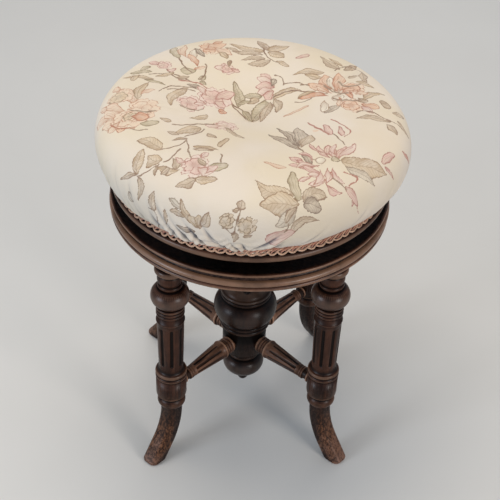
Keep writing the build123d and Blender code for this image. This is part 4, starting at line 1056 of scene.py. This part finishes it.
# The rings of the cover: the first and last row and the number of points round each.
bands = ((1, 36, 256), (37, 75, 512), (76, rows - 1, 1024))


def cover_surface(swelling):
    """The cover as a function of bearing and distance from the tuft: the outline turned about Z, let out
    by the swelling and the shifted stuffing, and drawn in at the tuft and the gathers. Rings of 256, 512
    and 1024 points keep the spacing near 1 mm, and the foot is turned under and closed over the board.
    Gives the points, the faces, each point's place on the flat cloth, and how deep in a fold it lies."""
    slope = unit(np.gradient(outline, axis=0))
    points, flat, fold_shading, faces, count = [], [], [], [], 0
    for first, last, around in bands:
        step = np.arange(first, last + 1)
        turn, far = np.meshgrid(bearings(around), step / (rows - 1) * cover_length)
        inward, creased = drawn_in(turn, far)
        radius = outline[step, 0][:, None] + lopsided(turn, far) + slope[step, 1][:, None] * inward
        grid = turned(radius, turn, outline[step, 1][:, None] - slope[step, 0][:, None] * inward)
        if swelling is not None:
            grid = grid + between(swelling, far, turn)
        points.append(grid.reshape(-1, 3))
        flat.append(turned(far, turn, 0)[..., :2].reshape(-1, 2))
        fold_shading.append(creased.ravel())
        if first > 1:
            faces += graft(count - around // 2, count, around // 2).tolist()
        faces += lattice(last - first + 1, around, count)[:, ::-1].tolist()
        count += (last - first + 1) * around
    for height in (cover_foot, board_top + over_board):
        points.append(turned(closed_radius, bearings(around), height))
        flat.append(flat[2][-around:])
    faces += lattice(3, around, count - around)[:, ::-1].tolist()
    count += 2 * around
    points += [[(0, 0, outline[0, 1] - tuft_pull * MM)], [(0, 0, board_top + over_board)]]
    flat += [[(0, 0)], [(0, 0)]]
    innermost = bands[0][2]
    faces += [(j, (j + 1) % innermost, count) for j in range(innermost)]
    faces += [(count - around + (j + 1) % around, count - around + j, count + 1) for j in range(around)]
    fold_shading.append(np.zeros(2 * around + 2))
    return np.concatenate(points), faces, np.concatenate(flat), np.concatenate(fold_shading)


points, faces, flat, fold_shading = cover_surface(stuffed_cover())
cushion = piece("cushion_cover", points, faces, printed_cotton("printed_cotton"), "seat", "floral_cloth",
                ("seat_cover", "stuffing_pad"), cloth=flat)
# fold is how deep each point lies in a fold, which the cotton turns into painted shade.
keep(cushion.data, **spread_print(flat / MM), fold=fold_shading)

# ---- braid and tuft ----

# The scallops round the seat, the steps along each, and the sides of a cord.
scallops, steps, cord_sides = 90, 20, 8


def braid_cords():
    """The gimp braid's cords round the foot of the cover: two twisted about each other along the middle,
    once in each scallop, and along each edge one in scallops, whose height follows the size of a half
    cosine, broad at its lowest and sharp between. The lower edge splays outwards over the rim, and slow
    waves of place and height keep the work uneven. Gives the points, faces, cord coordinates and tint."""
    turn = bearings(scallops * steps)
    wave = scallops * turn
    sharp = 1 - np.abs(np.cos(wave / 2))
    loop = wave + 0.6
    swing, lift = np.sin(loop), np.cos(loop)
    # Each cord: its slip as a share of a scallop, its radius, height and half thickness in mm, its tint.
    for slip, radius, height, thick, tint in (
        (0.16 * swing, 166.9 - 1.15 * swing, 401.4 + 1.9 * lift, 1.05, (228, 181, 148)),
        (-0.16 * swing, 166.9 + 1.15 * swing, 401.4 - 1.9 * lift, 1.05, (208, 145, 118)),
        (0.05 * np.sin(wave), 168.1 - 1.9 * sharp, 397.0 + 2.6 * sharp, 1.2, (228, 185, 150)),
        (-0.05 * np.sin(wave), 165.6, 404.6 - 1.0 * sharp, 0.8, (200, 140, 116)),
    ):
        angle = turn + (slip + 0.05 * np.sin(47 * turn + 2) + 0.04 * np.sin(83 * turn)) * TURN / scallops
        height = height + 0.28 * np.sin(29 * turn + thick) + 0.22 * np.sin(67 * turn + 3 * thick)
        yield (*cord_along(MM * turned(radius, angle, height), thick * MM, cord_sides), tint)


def tape(around=360):
    """The woven tape under the cords: a thin closed band, its section turned about Z, dark red-brown so
    that the gaps between the cords show painted shade. Gives what braid_cords gives."""
    section = MM * np.array([(164.35, 396.0), (165.0, 396.2), (165.0, 404.8), (164.35, 405.0)])
    count, turn = len(section), bearings(around)
    at = np.stack(np.broadcast_arrays(section[1, 0] * turn[None], np.arange(count)[:, None] / count), -1)
    points = turned(section[:, :1], turn, section[:, 1:])
    # The tape is dyed dark red-brown: painted shade for the gaps between the cords.
    return points.reshape(-1, 3), tube(count, around), at.reshape(-1, 2), (66, 36, 30)


points, faces, places, tints = zip(*braid_cords(), tape())
starts = np.cumsum([0] + [len(part) for part in points])
gimp = piece("looped_gimp", np.concatenate(points),
             np.concatenate([part + start for part, start in zip(faces, starts)]),
             yarn("gimp_yarn"), "seat", "gimp", ("gimp_braid",), cloth=np.concatenate(places))
painted = [np.tile(linear(tint), (len(part), 1)) for part, tint in zip(points, tints)]
keep(gimp.data, print=np.concatenate(painted))

# The stitch is one flat loop of twine, 2 mm wide, from the board up into the dimple.
stitch_middle, stitch_half, just_off, twine_radius = 0.435, 0.0297, 1e-6, 0.55 * MM
stitch_turn = bearings(64)
rise = stitch_half * np.sign(np.sin(stitch_turn)) * np.abs(np.sin(stitch_turn)) ** 0.5
stitch_path = np.stack([MM * np.cos(stitch_turn), 0 * stitch_turn + just_off, stitch_middle + rise], -1)
points, faces, places = cord_along(stitch_path, twine_radius, cord_sides, square=(0, 1, 0))
stitch = piece("tuft_stitch", points, faces, yarn("waxed_twine", 0.6), "seat", "twine", ("tuft_twine",),
               cloth=places)
keep(stitch.data, print=np.tile(linear((206, 186, 156)), (len(points), 1)))
